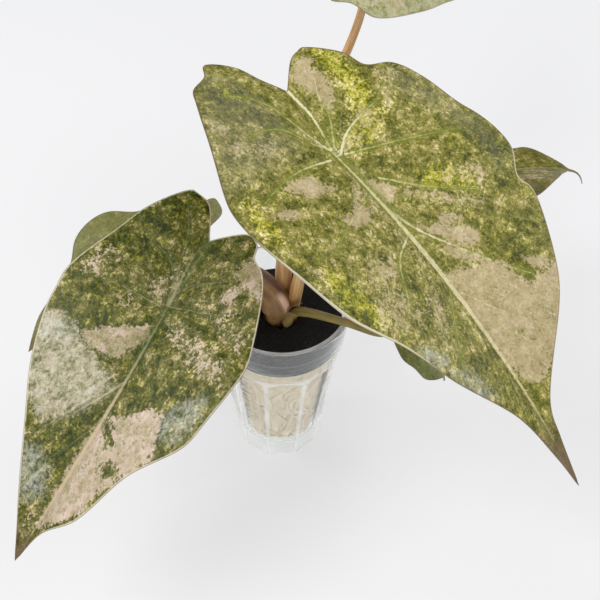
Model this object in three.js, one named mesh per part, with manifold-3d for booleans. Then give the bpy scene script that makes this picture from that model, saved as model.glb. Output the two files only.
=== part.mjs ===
// A potted variegated alocasia: a faceted glass tumbler with a black foam collar and a fibrous root
// ball, and six shield-shaped leaves whose stalks clasp one another at a short rootstock.
// Millimetres, +Z up. The origin is the centre of the tumbler's flat underside and the plant's
// front, with its two largest leaves, faces -Y.
import * as THREE from 'three';
import { mergeVertices } from 'three/addons/utils/BufferGeometryUtils.js';
import Module from 'manifold-3d';

const wasm = await Module();
wasm.setup();

// Clearance between pieces that touch in the real plant
const GAP = 0.3;
// How finely round forms are cut
const SEGMENTS = { tumbler: 60, rootBall: 40, bar: 36, stalkSides: 12, stalkSteps: 20 };

// The tumbler: a cone with a round rim band above ten flat facets
const TUMBLER = {
  height: 140,
  rimRadius: 44,
  footRadius: 29.5,
  lip: 1.4,
  facets: 10,
  facetTurn: 25,
  facetFoot: 28.2,
  facetShoulder: 38.3,
  shoulderHeight: 98,
  scallopHeight: 6,
  scallopFlare: 2.6,
  floor: 13,
  floorCorner: 6,
  boreFloor: 26,
  boreShoulder: 36.4,
  boreRim: 41.2,
};

// What fills the tumbler, by height above the table
const COLLAR = { top: 122, thickness: 13, hole: 13.2, edge: 1.2, clearance: 0.4 };
const ROOT_BALL = { clearance: 0.6, corner: 2, unevenness: 1.1, lumps: 7, lumpTurn: 2.4 };
// The short rootstock stands a little behind the tumbler's axis
const ROOTSTOCK = {
  behind: 3,
  top: 113,
  length: 24,
  radius: 12.4,
  shoulder: 4.8,
  edge: 1.5,
  tailRadius: 8,
  tailEdge: 2,
  footRadius: 5.6,
};

// Leaf blades: the rib below the midrib fades towards the tip and along the seam, the lobes bend
// less than the rest, and the margin's waves calm down towards the tip
const BLADE = {
  thickness: 0.7,
  ribHeight: 1.9,
  ribFade: 0.8,
  seamFade: 0.9,
  rows: 30,
  lobeShare: 0.36,
  lobeBend: 0.3,
  dripFrom: 0.86,
  waveEnd: 1.15,
};
// Places of the mesh columns from the midrib (0) to the margin (1)
const COLUMNS = [0, 0.05, 0.22, 0.42, 0.62, 0.82, 1];

// Each leaf: where the stalk meets the blade, the way its midrib points (heading from +X, pitch
// above level, both in degrees), how far it droops and bends by the tip, its roll about the midrib,
// the rise of its two halves (cup) and how that eases off towards the margin, its waves, the two
// margins in millimetres from the notch to the tip, and the course of the stalk with its radii.
// Sway is how far the seam behind the stalk leans to the left by the notch, drip and hook how far
// the tip's fine point turns down and to the left.
const LEAVES = [
  {
    name: 'front_right',
    attach: [28.1, -1, 265.1], heading: -42.8, pitch: -15, droop: -25.1, bend: -5,
    roll: 0, sway: 8, cup: 15, ease: -20, length: 219, waves: { height: 1.6, count: 4.5, phase: 0.6 },
    right: [
      [-47.5, -8], [-60, 0.5], [-73.5, 8], [-83, 23.5], [-77, 28.5], [-72.5, 41], [-65.5, 45.5],
      [-14.5, 74.5], [-1, 79], [37, 77.5], [71, 69], [100.5, 51.5], [129.5, 39], [168, 14],
      [196, 5.5], [219, 0],
    ],
    left: [
      [-47.5, 8], [-60.5, 23.5], [-61.5, 30], [-62, 31.5], [-44.5, 47.5], [-30.5, 51], [-21.5, 62],
      [-5, 68.5], [18, 74], [31, 78], [44.5, 79], [56, 77], [68.5, 69], [78.5, 71.5],
      [120.5, 52.5], [173, 8.5], [190.5, 4], [219, 0],
    ],
    stalk: {
      course: [[6.8, 1.8], [9, 3.5, 142], [15, 5, 190], [23, 2, 235]],
      radii: [4, 4.1, 3, 2.5, 2.2, 2.2],
    },
  },
  {
    name: 'front_left',
    attach: [-58.2, -72.7, 219.9], heading: -113.1, pitch: -14.4, droop: -24.3, bend: -17.6,
    roll: 0.1, sway: 3, cup: 15, ease: -20, length: 153, waves: { height: 1.2, count: 4, phase: 2.1 },
    right: [
      [-45, -3], [-64.5, 7.5], [-67, 16], [-67.5, 18.5], [-47, 36], [-28.5, 44.5], [3.5, 57],
      [15, 57.5], [30.5, 57], [56, 50], [88, 35.5], [121.5, 18], [139.5, 7.5], [153, 0],
    ],
    left: [
      [-45, 3], [-53.5, 20], [-54, 24.5], [-49, 31], [-41.5, 33], [-34, 41.5], [-23, 47.5],
      [1.5, 54.5], [17.5, 58.5], [49, 53], [59, 50], [83.5, 32], [116, 19], [133, 5], [153, 0],
    ],
    stalk: {
      course: [[-3.6, -0.4], [-3, 0.5, 131], [-9, 1, 148], [-23, -13, 182], [-44, -50, 212]],
      radii: [6.2, 9.6, 7.4, 3.9, 2.7, 2.3, 2.3],
    },
  },
  {
    name: 'rear_top',
    attach: [48.6, 134.2, 319.9], heading: 49.1, pitch: -5.5, droop: -42.6, bend: 0,
    roll: 48.6, cup: 12, ease: -20, length: 159.5, waves: { height: 1.2, count: 4, phase: 0.2 },
    right: [
      [-39.5, 0], [-53, 4.5], [-62, 13.5], [-63, 23], [-50.5, 31.5], [-41, 45], [-5.5, 56.5],
      [17, 58.5], [39, 58.5], [63.5, 46], [87.5, 32.5], [111.5, 19.5], [130.5, 9.5], [146.5, 3.5],
      [159.5, 0],
    ],
    left: [
      [-39.5, 0], [-52.5, 5], [-61, 13], [-62, 21], [-52.5, 34.5], [-32, 49.5], [0, 59], [19, 60],
      [40, 56], [64, 44.5], [87.5, 32], [111.5, 19], [131, 9.5], [146.5, 3.5], [159.5, 0],
    ],
    stalk: {
      course: [[0.5, 11], [0.5, 15.5, 142], [5.5, 48, 200], [41, 111, 276.5]],
      radii: [4, 5.2, 3.2, 2.5, 2.2, 2.2],
    },
  },
  {
    name: 'rear_right',
    attach: [93.5, 37.6, 197.7], heading: 39.1, pitch: -0.5, droop: -28.9, bend: -24,
    roll: -17.8, drip: -40, hook: -47.3, cup: 12, ease: -20, length: 120,
    waves: { height: 1, count: 3.5, phase: 1.2 },
    right: [
      [-27.5, 0], [-36.5, 3.5], [-42.5, 9.5], [-43, 15], [-36.5, 25], [-22, 36], [0, 44],
      [16.5, 46.5], [35, 45], [54.5, 36.5], [71.5, 25], [84.5, 14], [93.5, 7.5], [99, 2.5],
      [103, 1], [112, 1], [120, 0],
    ],
    left: [
      [-27.5, 0], [-36.5, 3], [-42.5, 8], [-43, 13], [-36.5, 21.5], [-22, 30.5], [-0.5, 37.5],
      [16, 39.5], [34, 38], [52.5, 31], [67.5, 22.5], [82.5, 23], [93, 13.5], [99.5, 6.5],
      [102.5, 2], [111.5, 1], [120, 0],
    ],
    stalk: {
      course: [[7.8, 9.2], [12, 12, 145], [38, 24, 178], [74.5, 32.5, 190.5]],
      radii: [2.8, 2.9, 2.5, 2.2, 2, 2],
    },
  },
  {
    name: 'rear_left',
    attach: [-79.5, 7.8, 184.3], heading: -137.1, pitch: -5.8, droop: -34.3, bend: -1.2,
    roll: 8.1, cup: 12, ease: -20, length: 99.5, waves: { height: 1, count: 3.5, phase: 2.6 },
    right: [
      [-22.5, 0], [-29.5, 2.5], [-34, 7], [-31.5, 12], [-22.5, 15.5], [-7.5, 18], [8, 31.5],
      [32, 30.5], [46.5, 18.5], [62, 12.5], [79.5, 9.5], [91.5, 4], [99.5, 0],
    ],
    left: [
      [-22.5, 0], [-35.5, 0.5], [-46, 3.5], [-44.5, 12], [-38.5, 23], [-23, 27], [0.5, 33.5],
      [22, 34], [42, 28], [59.5, 21], [77, 12.5], [90, 5], [99.5, 0],
    ],
    stalk: {
      course: [[-7.8, 8.2], [-13, 10.5, 140], [-34, 12, 164], [-60, 11, 177]],
      radii: [2.8, 2.9, 2.5, 2.2, 2, 2],
    },
  },
  {
    name: 'low_right',
    attach: [77.2, -22, 149], heading: -7.8, pitch: -41.3, droop: -44.9, bend: 10.7,
    roll: 6.3, cup: 10, ease: -20, length: 66, waves: { height: 0.8, count: 3, phase: 0.4 },
    right: [
      [-17.5, 0], [-23, 2], [-26.5, 5], [-26.5, 8], [-21.5, 13], [-10.5, 18], [0, 28], [9.5, 28.5],
      [20, 28.5], [30.5, 23], [40, 15.5], [49, 9.5], [56.5, 5.5], [62.5, 2], [66, 0],
    ],
    left: [
      [-17.5, 0], [-23, 1.5], [-27, 4.5], [-27.5, 7.5], [-23, 12], [-14, 17.5], [0, 20.5],
      [8.5, 21], [17.5, 19.5], [28, 16], [38, 11.5], [48.5, 7.5], [56, 4], [62, 1.5], [66, 0],
    ],
    stalk: {
      course: [[4.6, -5.2], [10.5, -7.5, 135.5], [39, -22, 146.5], [62, -26.5, 142.5]],
      radii: [2.7, 2.9, 2.5, 2.1, 1.9, 1.9],
    },
  },
];

// Each stalk is straight inside the collar and has a short neck square to its blade
const STALK = { straightBelow: 0.5, neck: 8 };
// Stalks from the innermost to the outermost at the crown
const NESTING = ['rear_top', 'front_right', 'rear_right', 'rear_left', 'low_right', 'front_left'];

// The torn papery scale on the foot of the oldest stalk: the share of the stalk that it covers, how
// far round it reaches from the top, and the teeth of its torn end
const SCALE = {
  from: 0.1,
  to: 0.27,
  turn: 100,
  thickness: 0.8,
  clearance: 0.5,
  flare: 1.6,
  teeth: 2.5,
  toothDepth: 0.35,
  rows: 7,
  columns: 10,
};

const rad = THREE.MathUtils.degToRad;
const mix = THREE.MathUtils.lerp;

// Colours from the photograph
const material = (name, color, roughness, metalness = 0) =>
  new THREE.MeshStandardMaterial({ name, color, roughness, metalness });
const MATERIALS = {
  glass: material('clear_glass', 0xdfe5e3, 0.08),
  foam: material('black_foam', 0x1c1c1c, 0.9),
  roots: material('beige_root_fibre', 0xcdb996, 0.95),
  leaf: material('variegated_leaf', 0x6e783c, 0.42),
  oldLeaf: material('old_leaf', 0x64734b, 0.5),
  stalk: material('tan_stalk', 0xc8a57d, 0.5),
  sheath: material('brown_sheath', 0x966946, 0.55),
  oldStalk: material('olive_stalk', 0x8c823c, 0.55),
  paper: material('papery_scale', 0xb49b5f, 0.9),
};

// Solids and surfaces

function meshOf(name, geometry, surface) {
  geometry.computeVertexNormals();
  const mesh = new THREE.Mesh(geometry, surface);
  mesh.name = name;
  return mesh;
}

// A closed geometry with shared corners, as the joining and cutting needs it
function toSolid(geometry) {
  const bare = geometry.clone();
  bare.deleteAttribute('normal');
  bare.deleteAttribute('uv');
  const merged = mergeVertices(bare, 1e-4);
  return new wasm.Manifold(new wasm.Mesh({
    numProp: 3,
    vertProperties: new Float32Array(merged.attributes.position.array),
    triVerts: new Uint32Array(merged.index.array),
  }));
}

function toGeometry(solid) {
  const mesh = solid.getMesh();
  const geometry = new THREE.BufferGeometry();
  geometry.setAttribute('position', new THREE.BufferAttribute(new Float32Array(mesh.vertProperties), 3));
  geometry.setIndex(new THREE.BufferAttribute(new Uint32Array(mesh.triVerts), 1));
  return geometry;
}

// A turned solid about +Z from a profile of [radius, height], first and last points on the axis
function turned(profile, segments, startDegrees = 0) {
  const points = profile.map(([radius, height]) => new THREE.Vector2(radius, height));
  const geometry = new THREE.LatheGeometry(points, segments, rad(startDegrees));
  geometry.rotateX(Math.PI / 2);
  return geometry;
}

// Radius of the tumbler's bore at a height
function boreRadius(height) {
  const { floor, shoulderHeight, boreFloor, boreShoulder, boreRim } = TUMBLER;
  if (height < shoulderHeight) {
    const share = (height - floor) / (shoulderHeight - floor);
    return mix(boreFloor, boreShoulder, share);
  }
  return mix(boreShoulder, boreRim, (height - shoulderHeight) / (TUMBLER.height - shoulderHeight));
}

function tumbler() {
  const t = TUMBLER;
  const corner = t.floor + t.floorCorner;
  const round = turned([
    [0, 0],
    [t.footRadius - t.lip, 0],
    [t.footRadius, t.lip],
    [t.rimRadius, t.height - t.lip],
    [t.rimRadius - 0.4 * t.lip, t.height - 0.25 * t.lip],
    [(t.rimRadius + t.boreRim) / 2, t.height],
    [t.boreRim + 0.4 * t.lip, t.height - 0.25 * t.lip],
    [t.boreRim, t.height - t.lip],
    [t.boreShoulder, t.shoulderHeight],
    [boreRadius(corner), corner],
    [boreRadius(corner) - 0.3 * t.floorCorner, t.floor + 0.3 * t.floorCorner],
    [boreRadius(corner) - t.floorCorner, t.floor],
    [0, t.floor],
  ], SEGMENTS.tumbler, t.facetTurn);
  // Ten flat facets, whose cut runs out in a scallop below the rim band
  const corners = Math.cos(Math.PI / t.facets);
  const facetSlope = (t.facetShoulder - t.facetFoot) / t.shoulderHeight;
  const scallopTop = t.shoulderHeight + t.scallopHeight;
  const clear = t.rimRadius / corners + 1;
  const facets = turned([
    [0, -1],
    [(t.facetFoot - facetSlope) / corners, -1],
    [t.facetShoulder / corners, t.shoulderHeight],
    [(t.facetShoulder + t.scallopFlare) / corners, scallopTop],
    [clear, t.height],
    [clear, t.height + 1],
    [0, t.height + 1],
  ], t.facets, t.facetTurn);
  return toGeometry(toSolid(round).intersect(toSolid(facets)));
}

// Round bar standing where the rootstock stands
function plantAxisBar(profile) {
  const bar = turned(profile, SEGMENTS.bar);
  bar.translate(0, ROOTSTOCK.behind, 0);
  return toSolid(bar);
}

function rootstockSolid(extra = 0) {
  const r = ROOTSTOCK;
  const foot = r.top - r.length;
  return plantAxisBar([
    [0, foot - extra],
    [r.footRadius + extra, foot - extra],
    [r.tailRadius + extra, foot + r.tailEdge],
    [r.radius + extra, r.top - r.shoulder],
    [r.radius + extra, r.top - r.edge],
    [r.radius - r.edge + extra, r.top + extra],
    [0, r.top + extra],
  ]);
}

function collar() {
  const { top, thickness, hole, edge, clearance } = COLLAR;
  const bottom = top - thickness + GAP;
  const disc = turned([
    [0, bottom],
    [boreRadius(bottom) - clearance, bottom],
    [boreRadius(top - edge) - clearance, top - edge],
    [boreRadius(top) - clearance - edge, top],
    [0, top],
  ], SEGMENTS.tumbler, TUMBLER.facetTurn);
  const opening = plantAxisBar([[0, bottom - 1], [hole, bottom - 1], [hole, top + 1], [0, top + 1]]);
  return toGeometry(toSolid(disc).subtract(opening));
}

// The root ball fills the tumbler below the collar and has a plain socket for the rootstock
function rootBall() {
  const { clearance, corner, unevenness, lumps, lumpTurn } = ROOT_BALL;
  const top = COLLAR.top - COLLAR.thickness - GAP;
  const bottom = TUMBLER.floor + GAP;
  const wallFoot = TUMBLER.floor + TUMBLER.floorCorner;
  const profile = [[0, bottom], [boreRadius(wallFoot) - TUMBLER.floorCorner - corner, bottom]];
  for (let layer = 0; layer <= lumps; layer += 1) {
    const height = mix(wallFoot + 1, top - corner, layer / lumps);
    const dent = unevenness * (0.5 + 0.5 * Math.sin(lumpTurn * layer));
    profile.push([boreRadius(height) - clearance - dent, height]);
  }
  profile.push([boreRadius(top) - clearance - corner, top]);
  profile.push([0, top]);
  return toGeometry(toSolid(turned(profile, SEGMENTS.rootBall)).subtract(rootstockSolid(GAP)));
}

// The blade's middle surface

// The midrib as a table of points with their own frames, from behind the stalk to the tip
function midribTable(leaf) {
  const from = -0.75;
  const to = 1.05;
  const step = 0.01;
  const rows = [];
  const place = new THREE.Vector3();
  for (let s = from; s <= to + step / 2; s += step) {
    const hang = leaf.droop * (s > 0 ? s : s * BLADE.lobeBend);
    const curl = (leaf.drip ?? 0) * THREE.MathUtils.smoothstep(s, BLADE.dripFrom, 1);
    const pitch = rad(leaf.pitch + hang + curl);
    const hook = (leaf.hook ?? 0) * THREE.MathUtils.smoothstep(s, BLADE.dripFrom, 1);
    const heading = rad(leaf.heading + leaf.bend * Math.max(s, 0) + hook);
    const along = new THREE.Vector3(
      Math.cos(pitch) * Math.cos(heading), Math.cos(pitch) * Math.sin(heading), Math.sin(pitch));
    const level = new THREE.Vector3(-Math.sin(heading), Math.cos(heading), 0);
    const up = new THREE.Vector3().crossVectors(along, level);
    const roll = rad(leaf.roll);
    const side = level.clone().multiplyScalar(Math.cos(roll)).addScaledVector(up, Math.sin(roll));
    const normal = up.clone().multiplyScalar(Math.cos(roll)).addScaledVector(level, -Math.sin(roll));
    if (rows.length > 0) {
      const before = rows[rows.length - 1].along;
      const halfStep = 0.5 * step * leaf.length;
      place.addScaledVector(before, halfStep).addScaledVector(along, halfStep);
    }
    rows.push({ point: place.clone(), along, side, normal });
  }
  // The stalk's place is where s is zero
  const origin = rows[Math.round(-from / step)].point.clone();
  const shift = new THREE.Vector3(...leaf.attach).sub(origin);
  rows.forEach((row) => row.point.add(shift));
  return { rows, from, step };
}

function midribAt(table, s) {
  const place = THREE.MathUtils.clamp((s - table.from) / table.step, 0, table.rows.length - 1.001);
  const low = table.rows[Math.floor(place)];
  const high = table.rows[Math.floor(place) + 1];
  const share = place - Math.floor(place);
  return {
    point: low.point.clone().lerp(high.point, share),
    side: low.side.clone().lerp(high.side, share).normalize(),
    normal: low.normal.clone().lerp(high.normal, share).normalize(),
  };
}

// Where the seam lies across the leaf at u: on the midrib's line ahead of the stalk
function seamShift(leaf, u) {
  const notch = leaf.left[0][0];
  return (leaf.sway ?? 0) * THREE.MathUtils.smoothstep(u / notch, 0, 1);
}

// Point of the smooth surface at u along the midrib and v across it, v positive to the left of the
// way the leaf points. Each half leaves the midrib at the cup angle and eases off with distance.
function surfacePoint(leaf, u, v) {
  const spine = midribAt(leaf.table, u / leaf.length);
  const shift = seamShift(leaf, u);
  const distance = Math.abs(v - shift);
  const rise = rad(leaf.cup);
  const curl = rad(leaf.ease) / leaf.length;
  const across = (Math.sin(rise + curl * distance) - Math.sin(rise)) / curl;
  const lift = (Math.cos(rise) - Math.cos(rise + curl * distance)) / curl;
  return spine.point
    .addScaledVector(spine.side, shift + Math.sign(v - shift) * across)
    .addScaledVector(spine.normal, lift);
}

function surfaceNormal(leaf, u, v) {
  const reach = 0.5;
  if (Math.abs(v - seamShift(leaf, u)) < reach) return midribAt(leaf.table, u / leaf.length).normal;
  const along = surfacePoint(leaf, u + reach, v).sub(surfacePoint(leaf, u - reach, v));
  const across = surfacePoint(leaf, u, v + reach).sub(surfacePoint(leaf, u, v - reach));
  return along.cross(across).normalize();
}

// One half's margin as a smooth line with places from 0 at the notch to 1 at the tip
function marginLine(points, sign) {
  const corners = points.map(([u, v]) => new THREE.Vector3(u, sign * v, 0));
  return new THREE.CatmullRomCurve3(corners, false, 'centripetal');
}

// Blade as a closed solid: each half has rows from the notch to the tip that fan out from the
// midrib to the margin, with the same triangles on both faces. A rib runs below the midrib.
function blade(leaf) {
  const notch = leaf.left[0][0];
  const positions = [];
  const faces = [];
  const addPoint = (point) => {
    positions.push(point.x, point.y, point.z);
    return positions.length / 3 - 1;
  };
  const addPair = (u, v, out, along, half = 0) => {
    const { height, count, phase } = leaf.waves;
    const fade = Math.sin(Math.PI * Math.min(1, BLADE.waveEnd * along));
    const wave = height * out ** 2 * fade * Math.sin(2 * Math.PI * count * along + phase * half);
    const normal = surfaceNormal(leaf, u, v);
    const top = surfacePoint(leaf, u, v).addScaledVector(normal, wave);
    const tipward = THREE.MathUtils.clamp(1 - Math.max(u, 0) / leaf.length, 0, 1);
    const rearward = u < 0 ? 1 - BLADE.seamFade * Math.min(1, u / notch) : 1;
    const rib = out === 0 ? BLADE.ribHeight * tipward ** BLADE.ribFade * rearward : 0;
    const under = top.clone().addScaledVector(normal, -(BLADE.thickness + rib));
    return [addPoint(top), addPoint(under)];
  };
  // The midrib and the seam behind it belong to both halves
  const middle = [];
  for (let row = 0; row <= BLADE.rows; row += 1) {
    const along = row / BLADE.rows;
    const u = mix(notch, leaf.length, innerPlace(leaf, along));
    middle.push(addPair(u, seamShift(leaf, u), 0, along));
  }
  for (const [sign, points] of [[1, leaf.left], [-1, leaf.right]]) {
    const margin = marginLine(points, sign);
    const grid = middle.map((pair, row) => {
      const along = row / BLADE.rows;
      const inner = mix(notch, leaf.length, innerPlace(leaf, along));
      const edge = margin.getPointAt(along);
      const line = [pair];
      if (row === 0 || row === BLADE.rows) return line;
      for (const out of COLUMNS.slice(1)) {
        const across = mix(seamShift(leaf, inner), edge.y, out);
        line.push(addPair(mix(inner, edge.x, out), across, out, along, sign));
      }
      return line;
    });
    const quad = (a, b, c, d) => {
      // a-b on one row, c-d on the next; both faces are split along the same diagonal
      for (const [p, q, r] of [[a, b, d], [a, d, c]]) {
        if (p === q || q === r || p === r) continue;
        const upper = sign > 0 ? [p[0], r[0], q[0]] : [p[0], q[0], r[0]];
        const lower = sign > 0 ? [p[1], q[1], r[1]] : [p[1], r[1], q[1]];
        faces.push(...upper, ...lower);
      }
    };
    for (let row = 0; row < BLADE.rows; row += 1) {
      const near = grid[row];
      const far = grid[row + 1];
      const width = COLUMNS.length - 1;
      const pick = (line, column) => line[Math.min(column, line.length - 1)];
      for (let column = 0; column < width; column += 1) {
        quad(pick(near, column), pick(near, column + 1), pick(far, column), pick(far, column + 1));
      }
      // The cut edge along the margin
      const a = pick(near, width);
      const b = pick(far, width);
      if (sign > 0) faces.push(a[0], b[0], b[1], a[0], b[1], a[1]);
      else faces.push(a[0], b[1], b[0], a[0], a[1], b[1]);
    }
  }
  const geometry = new THREE.BufferGeometry();
  geometry.setAttribute('position', new THREE.Float32BufferAttribute(positions, 3));
  geometry.setIndex(faces);
  return geometry;
}

// Where the rows start on the line from the notch (0) to the tip (1): the lobe's rows fan out of
// the short seam behind the stalk, the rest out of the midrib
function innerPlace(leaf, along) {
  const notch = leaf.left[0][0];
  const seamShare = -notch / (leaf.length - notch);
  const { lobeShare } = BLADE;
  return along < lobeShare
    ? seamShare * (along / lobeShare)
    : mix(seamShare, 1, (along - lobeShare) / (1 - lobeShare));
}

// Stalks

// A closed tube of changing radius along a smooth course
function tapered(course, radii, sides, steps) {
  const curve = new THREE.CatmullRomCurve3(course, false, 'centripetal');
  const frames = curve.computeFrenetFrames(steps, false);
  const positions = [];
  const faces = [];
  const last = course.length - 1;
  for (let ring = 0; ring <= steps; ring += 1) {
    const share = ring / steps;
    const centre = curve.getPointAt(share);
    // Radii are given at the course's own points
    const place = Math.min(curve.getUtoTmapping(share) * last, last - 1e-6);
    const index = Math.floor(place);
    const radius = mix(radii[index], radii[index + 1], THREE.MathUtils.smoothstep(place - index, 0, 1));
    for (let side = 0; side < sides; side += 1) {
      const angle = (2 * Math.PI * side) / sides;
      const point = centre.clone()
        .addScaledVector(frames.normals[ring], radius * Math.cos(angle))
        .addScaledVector(frames.binormals[ring], radius * Math.sin(angle));
      positions.push(point.x, point.y, point.z);
    }
  }
  for (let ring = 0; ring < steps; ring += 1) {
    for (let side = 0; side < sides; side += 1) {
      const next = (side + 1) % sides;
      const a = ring * sides + side;
      const b = ring * sides + next;
      const c = (ring + 1) * sides + side;
      const d = (ring + 1) * sides + next;
      faces.push(a, b, d, a, d, c);
    }
  }
  for (let side = 1; side < sides - 1; side += 1) {
    const end = steps * sides;
    faces.push(0, side + 1, side, end, end + side, end + side + 1);
  }
  const geometry = new THREE.BufferGeometry();
  geometry.setAttribute('position', new THREE.Float32BufferAttribute(positions, 3));
  geometry.setIndex(faces);
  return geometry;
}

// The stalk's course: straight up from the rootstock through the collar's hole, then along its own
// points to just below the blade, which it meets squarely
function stalkCourse(leaf) {
  const normal = surfaceNormal(leaf, 0, 0);
  const attach = new THREE.Vector3(...leaf.attach);
  const depth = BLADE.thickness + BLADE.ribHeight + GAP;
  const [foot, ...rest] = leaf.stalk.course;
  return [
    new THREE.Vector3(foot[0], foot[1], ROOTSTOCK.top + GAP),
    new THREE.Vector3(foot[0], foot[1], COLLAR.top - STALK.straightBelow),
    ...rest.map((point) => new THREE.Vector3(...point)),
    attach.clone().addScaledVector(normal, -depth - STALK.neck),
    attach.clone().addScaledVector(normal, -depth),
  ];
}

function stalkSolid(leaf, extra = 0) {
  const [footRadius, ...others] = leaf.stalk.radii;
  const radii = [footRadius, footRadius, ...others].map((radius) => radius + extra);
  return toSolid(tapered(stalkCourse(leaf), radii, SEGMENTS.stalkSides, SEGMENTS.stalkSteps));
}

// The stalks from the innermost to the outermost; each clasps the ones before it
function nestedStalks(leaves) {
  const solids = new Map();
  const inner = [];
  for (const leaf of leaves) {
    let solid = stalkSolid(leaf);
    for (const neighbour of inner) solid = solid.subtract(stalkSolid(neighbour, GAP));
    const pieces = solid.decompose();
    pieces.sort((a, b) => b.volume() - a.volume());
    solids.set(leaf.name, pieces[0]);
    inner.push(leaf);
  }
  return solids;
}

// A closed shell over a grid of outer points, each paired with its inner point
function shell(outer, inner) {
  const rows = outer.length;
  const columns = outer[0].length;
  const positions = [];
  for (const grid of [outer, inner]) {
    for (const row of grid) for (const point of row) positions.push(point.x, point.y, point.z);
  }
  const at = (side, row, column) => (side * rows + row) * columns + column;
  const faces = [];
  for (let row = 0; row < rows - 1; row += 1) {
    for (let column = 0; column < columns - 1; column += 1) {
      const [a, b, c, d] = [[row, column], [row, column + 1], [row + 1, column], [row + 1, column + 1]];
      faces.push(at(0, ...a), at(0, ...b), at(0, ...d), at(0, ...a), at(0, ...d), at(0, ...c));
      faces.push(at(1, ...a), at(1, ...d), at(1, ...b), at(1, ...a), at(1, ...c), at(1, ...d));
    }
  }
  const wall = (to, from) => {
    faces.push(at(0, ...from), at(1, ...to), at(0, ...to), at(0, ...from), at(1, ...from), at(1, ...to));
  };
  for (let column = 0; column < columns - 1; column += 1) {
    wall([0, column + 1], [0, column]);
    wall([rows - 1, column], [rows - 1, column + 1]);
  }
  for (let row = 0; row < rows - 1; row += 1) {
    wall([row, 0], [row + 1, 0]);
    wall([row + 1, columns - 1], [row, columns - 1]);
  }
  const geometry = new THREE.BufferGeometry();
  geometry.setAttribute('position', new THREE.Float32BufferAttribute(positions, 3));
  geometry.setIndex(faces);
  return toSolid(geometry);
}

function paperyScale(leaf, neighbours) {
  const curve = new THREE.CatmullRomCurve3(stalkCourse(leaf), false, 'centripetal');
  const radius = Math.max(...leaf.stalk.radii) + SCALE.clearance;
  const { rows, columns } = SCALE;
  const upward = new THREE.Vector3(0, 0, 1);
  const grid = (extra) => Array.from({ length: rows }, (_, row) => (
    Array.from({ length: columns }, (__, column) => {
      const across = column / (columns - 1);
      const tooth = 1 - SCALE.toothDepth * Math.abs(Math.sin(Math.PI * SCALE.teeth * across));
      const along = (row / (rows - 1)) * tooth;
      const share = mix(SCALE.from, SCALE.to, along);
      const centre = curve.getPointAt(share);
      const way = curve.getTangentAt(share);
      const up = upward.clone().addScaledVector(way, -way.dot(upward)).normalize();
      const side = new THREE.Vector3().crossVectors(way, up);
      const turn = rad(mix(-SCALE.turn, SCALE.turn, across));
      const reach = radius + extra + SCALE.flare * along ** 2;
      return centre
        .addScaledVector(up, reach * Math.cos(turn))
        .addScaledVector(side, reach * Math.sin(turn));
    })));
  let solid = shell(grid(SCALE.thickness), grid(0));
  for (const neighbour of neighbours) solid = solid.subtract(stalkSolid(neighbour, GAP));
  const pieces = solid.decompose();
  pieces.sort((a, b) => b.volume() - a.volume());
  return toGeometry(pieces[0]);
}

// Build the plant

for (const leaf of LEAVES) leaf.table = midribTable(leaf);

const plant = new THREE.Group();
plant.add(meshOf('tumbler', tumbler(), MATERIALS.glass));
plant.add(meshOf('foam_collar', collar(), MATERIALS.foam));
plant.add(meshOf('root_ball', rootBall(), MATERIALS.roots));
plant.add(meshOf('rootstock', toGeometry(rootstockSolid()), MATERIALS.sheath));

const BLADE_LOOK = { low_right: MATERIALS.oldLeaf };
const STALK_LOOK = { front_left: MATERIALS.sheath, low_right: MATERIALS.oldStalk };
const byNesting = [...LEAVES].sort((a, b) => NESTING.indexOf(a.name) - NESTING.indexOf(b.name));
const stalks = nestedStalks(byNesting);
for (const leaf of LEAVES) {
  const bladeLook = BLADE_LOOK[leaf.name] ?? MATERIALS.leaf;
  const stalkLook = STALK_LOOK[leaf.name] ?? MATERIALS.stalk;
  plant.add(meshOf(`blade_${leaf.name}`, blade(leaf), bladeLook));
  plant.add(meshOf(`stalk_${leaf.name}`, toGeometry(stalks.get(leaf.name)), stalkLook));
}

const oldest = LEAVES.find((leaf) => leaf.name === 'low_right');
plant.add(meshOf('papery_scale', paperyScale(oldest, LEAVES), MATERIALS.paper));

export default plant;
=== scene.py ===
"""Looks of a potted variegated alocasia: leaf blades with veins and marbling, striped stalks, a
faceted glass tumbler, a black foam collar and a ball of root fibre. Sizes are millimetres in the
tables below and metres in the scene. A leaf's own coordinates are u along the midrib from the
stalk and v across it, positive to the left of the way the leaf points. Colours are the 0 to 255
of a picture, and where four numbers stand together, the first is a place on a ramp."""
import math
from types import SimpleNamespace as Sizes

import bpy
import numpy as np
from mathutils import Matrix, Vector


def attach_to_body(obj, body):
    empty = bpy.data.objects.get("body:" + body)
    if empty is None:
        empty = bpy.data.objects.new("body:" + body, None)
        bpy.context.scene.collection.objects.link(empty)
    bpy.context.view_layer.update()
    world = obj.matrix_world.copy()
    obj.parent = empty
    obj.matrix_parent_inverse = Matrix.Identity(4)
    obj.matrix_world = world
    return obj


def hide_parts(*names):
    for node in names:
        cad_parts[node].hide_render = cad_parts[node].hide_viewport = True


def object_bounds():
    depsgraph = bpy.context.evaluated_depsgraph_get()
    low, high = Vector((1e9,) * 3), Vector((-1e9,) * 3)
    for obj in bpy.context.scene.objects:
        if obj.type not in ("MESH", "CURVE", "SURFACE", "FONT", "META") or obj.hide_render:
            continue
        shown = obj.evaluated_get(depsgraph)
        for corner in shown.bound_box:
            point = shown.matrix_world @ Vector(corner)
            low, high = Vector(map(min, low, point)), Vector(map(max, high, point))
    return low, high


MM = 0.001
CM = 0.1  # of a millimetre, for texture coordinates in centimetres
MARGIN = 1e-5  # of a metre, between the pieces and the sides of the solids' box
FAR = 1e9
MARK_FAR = 15.0  # beyond this distance from its outline a mark no longer changes

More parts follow.
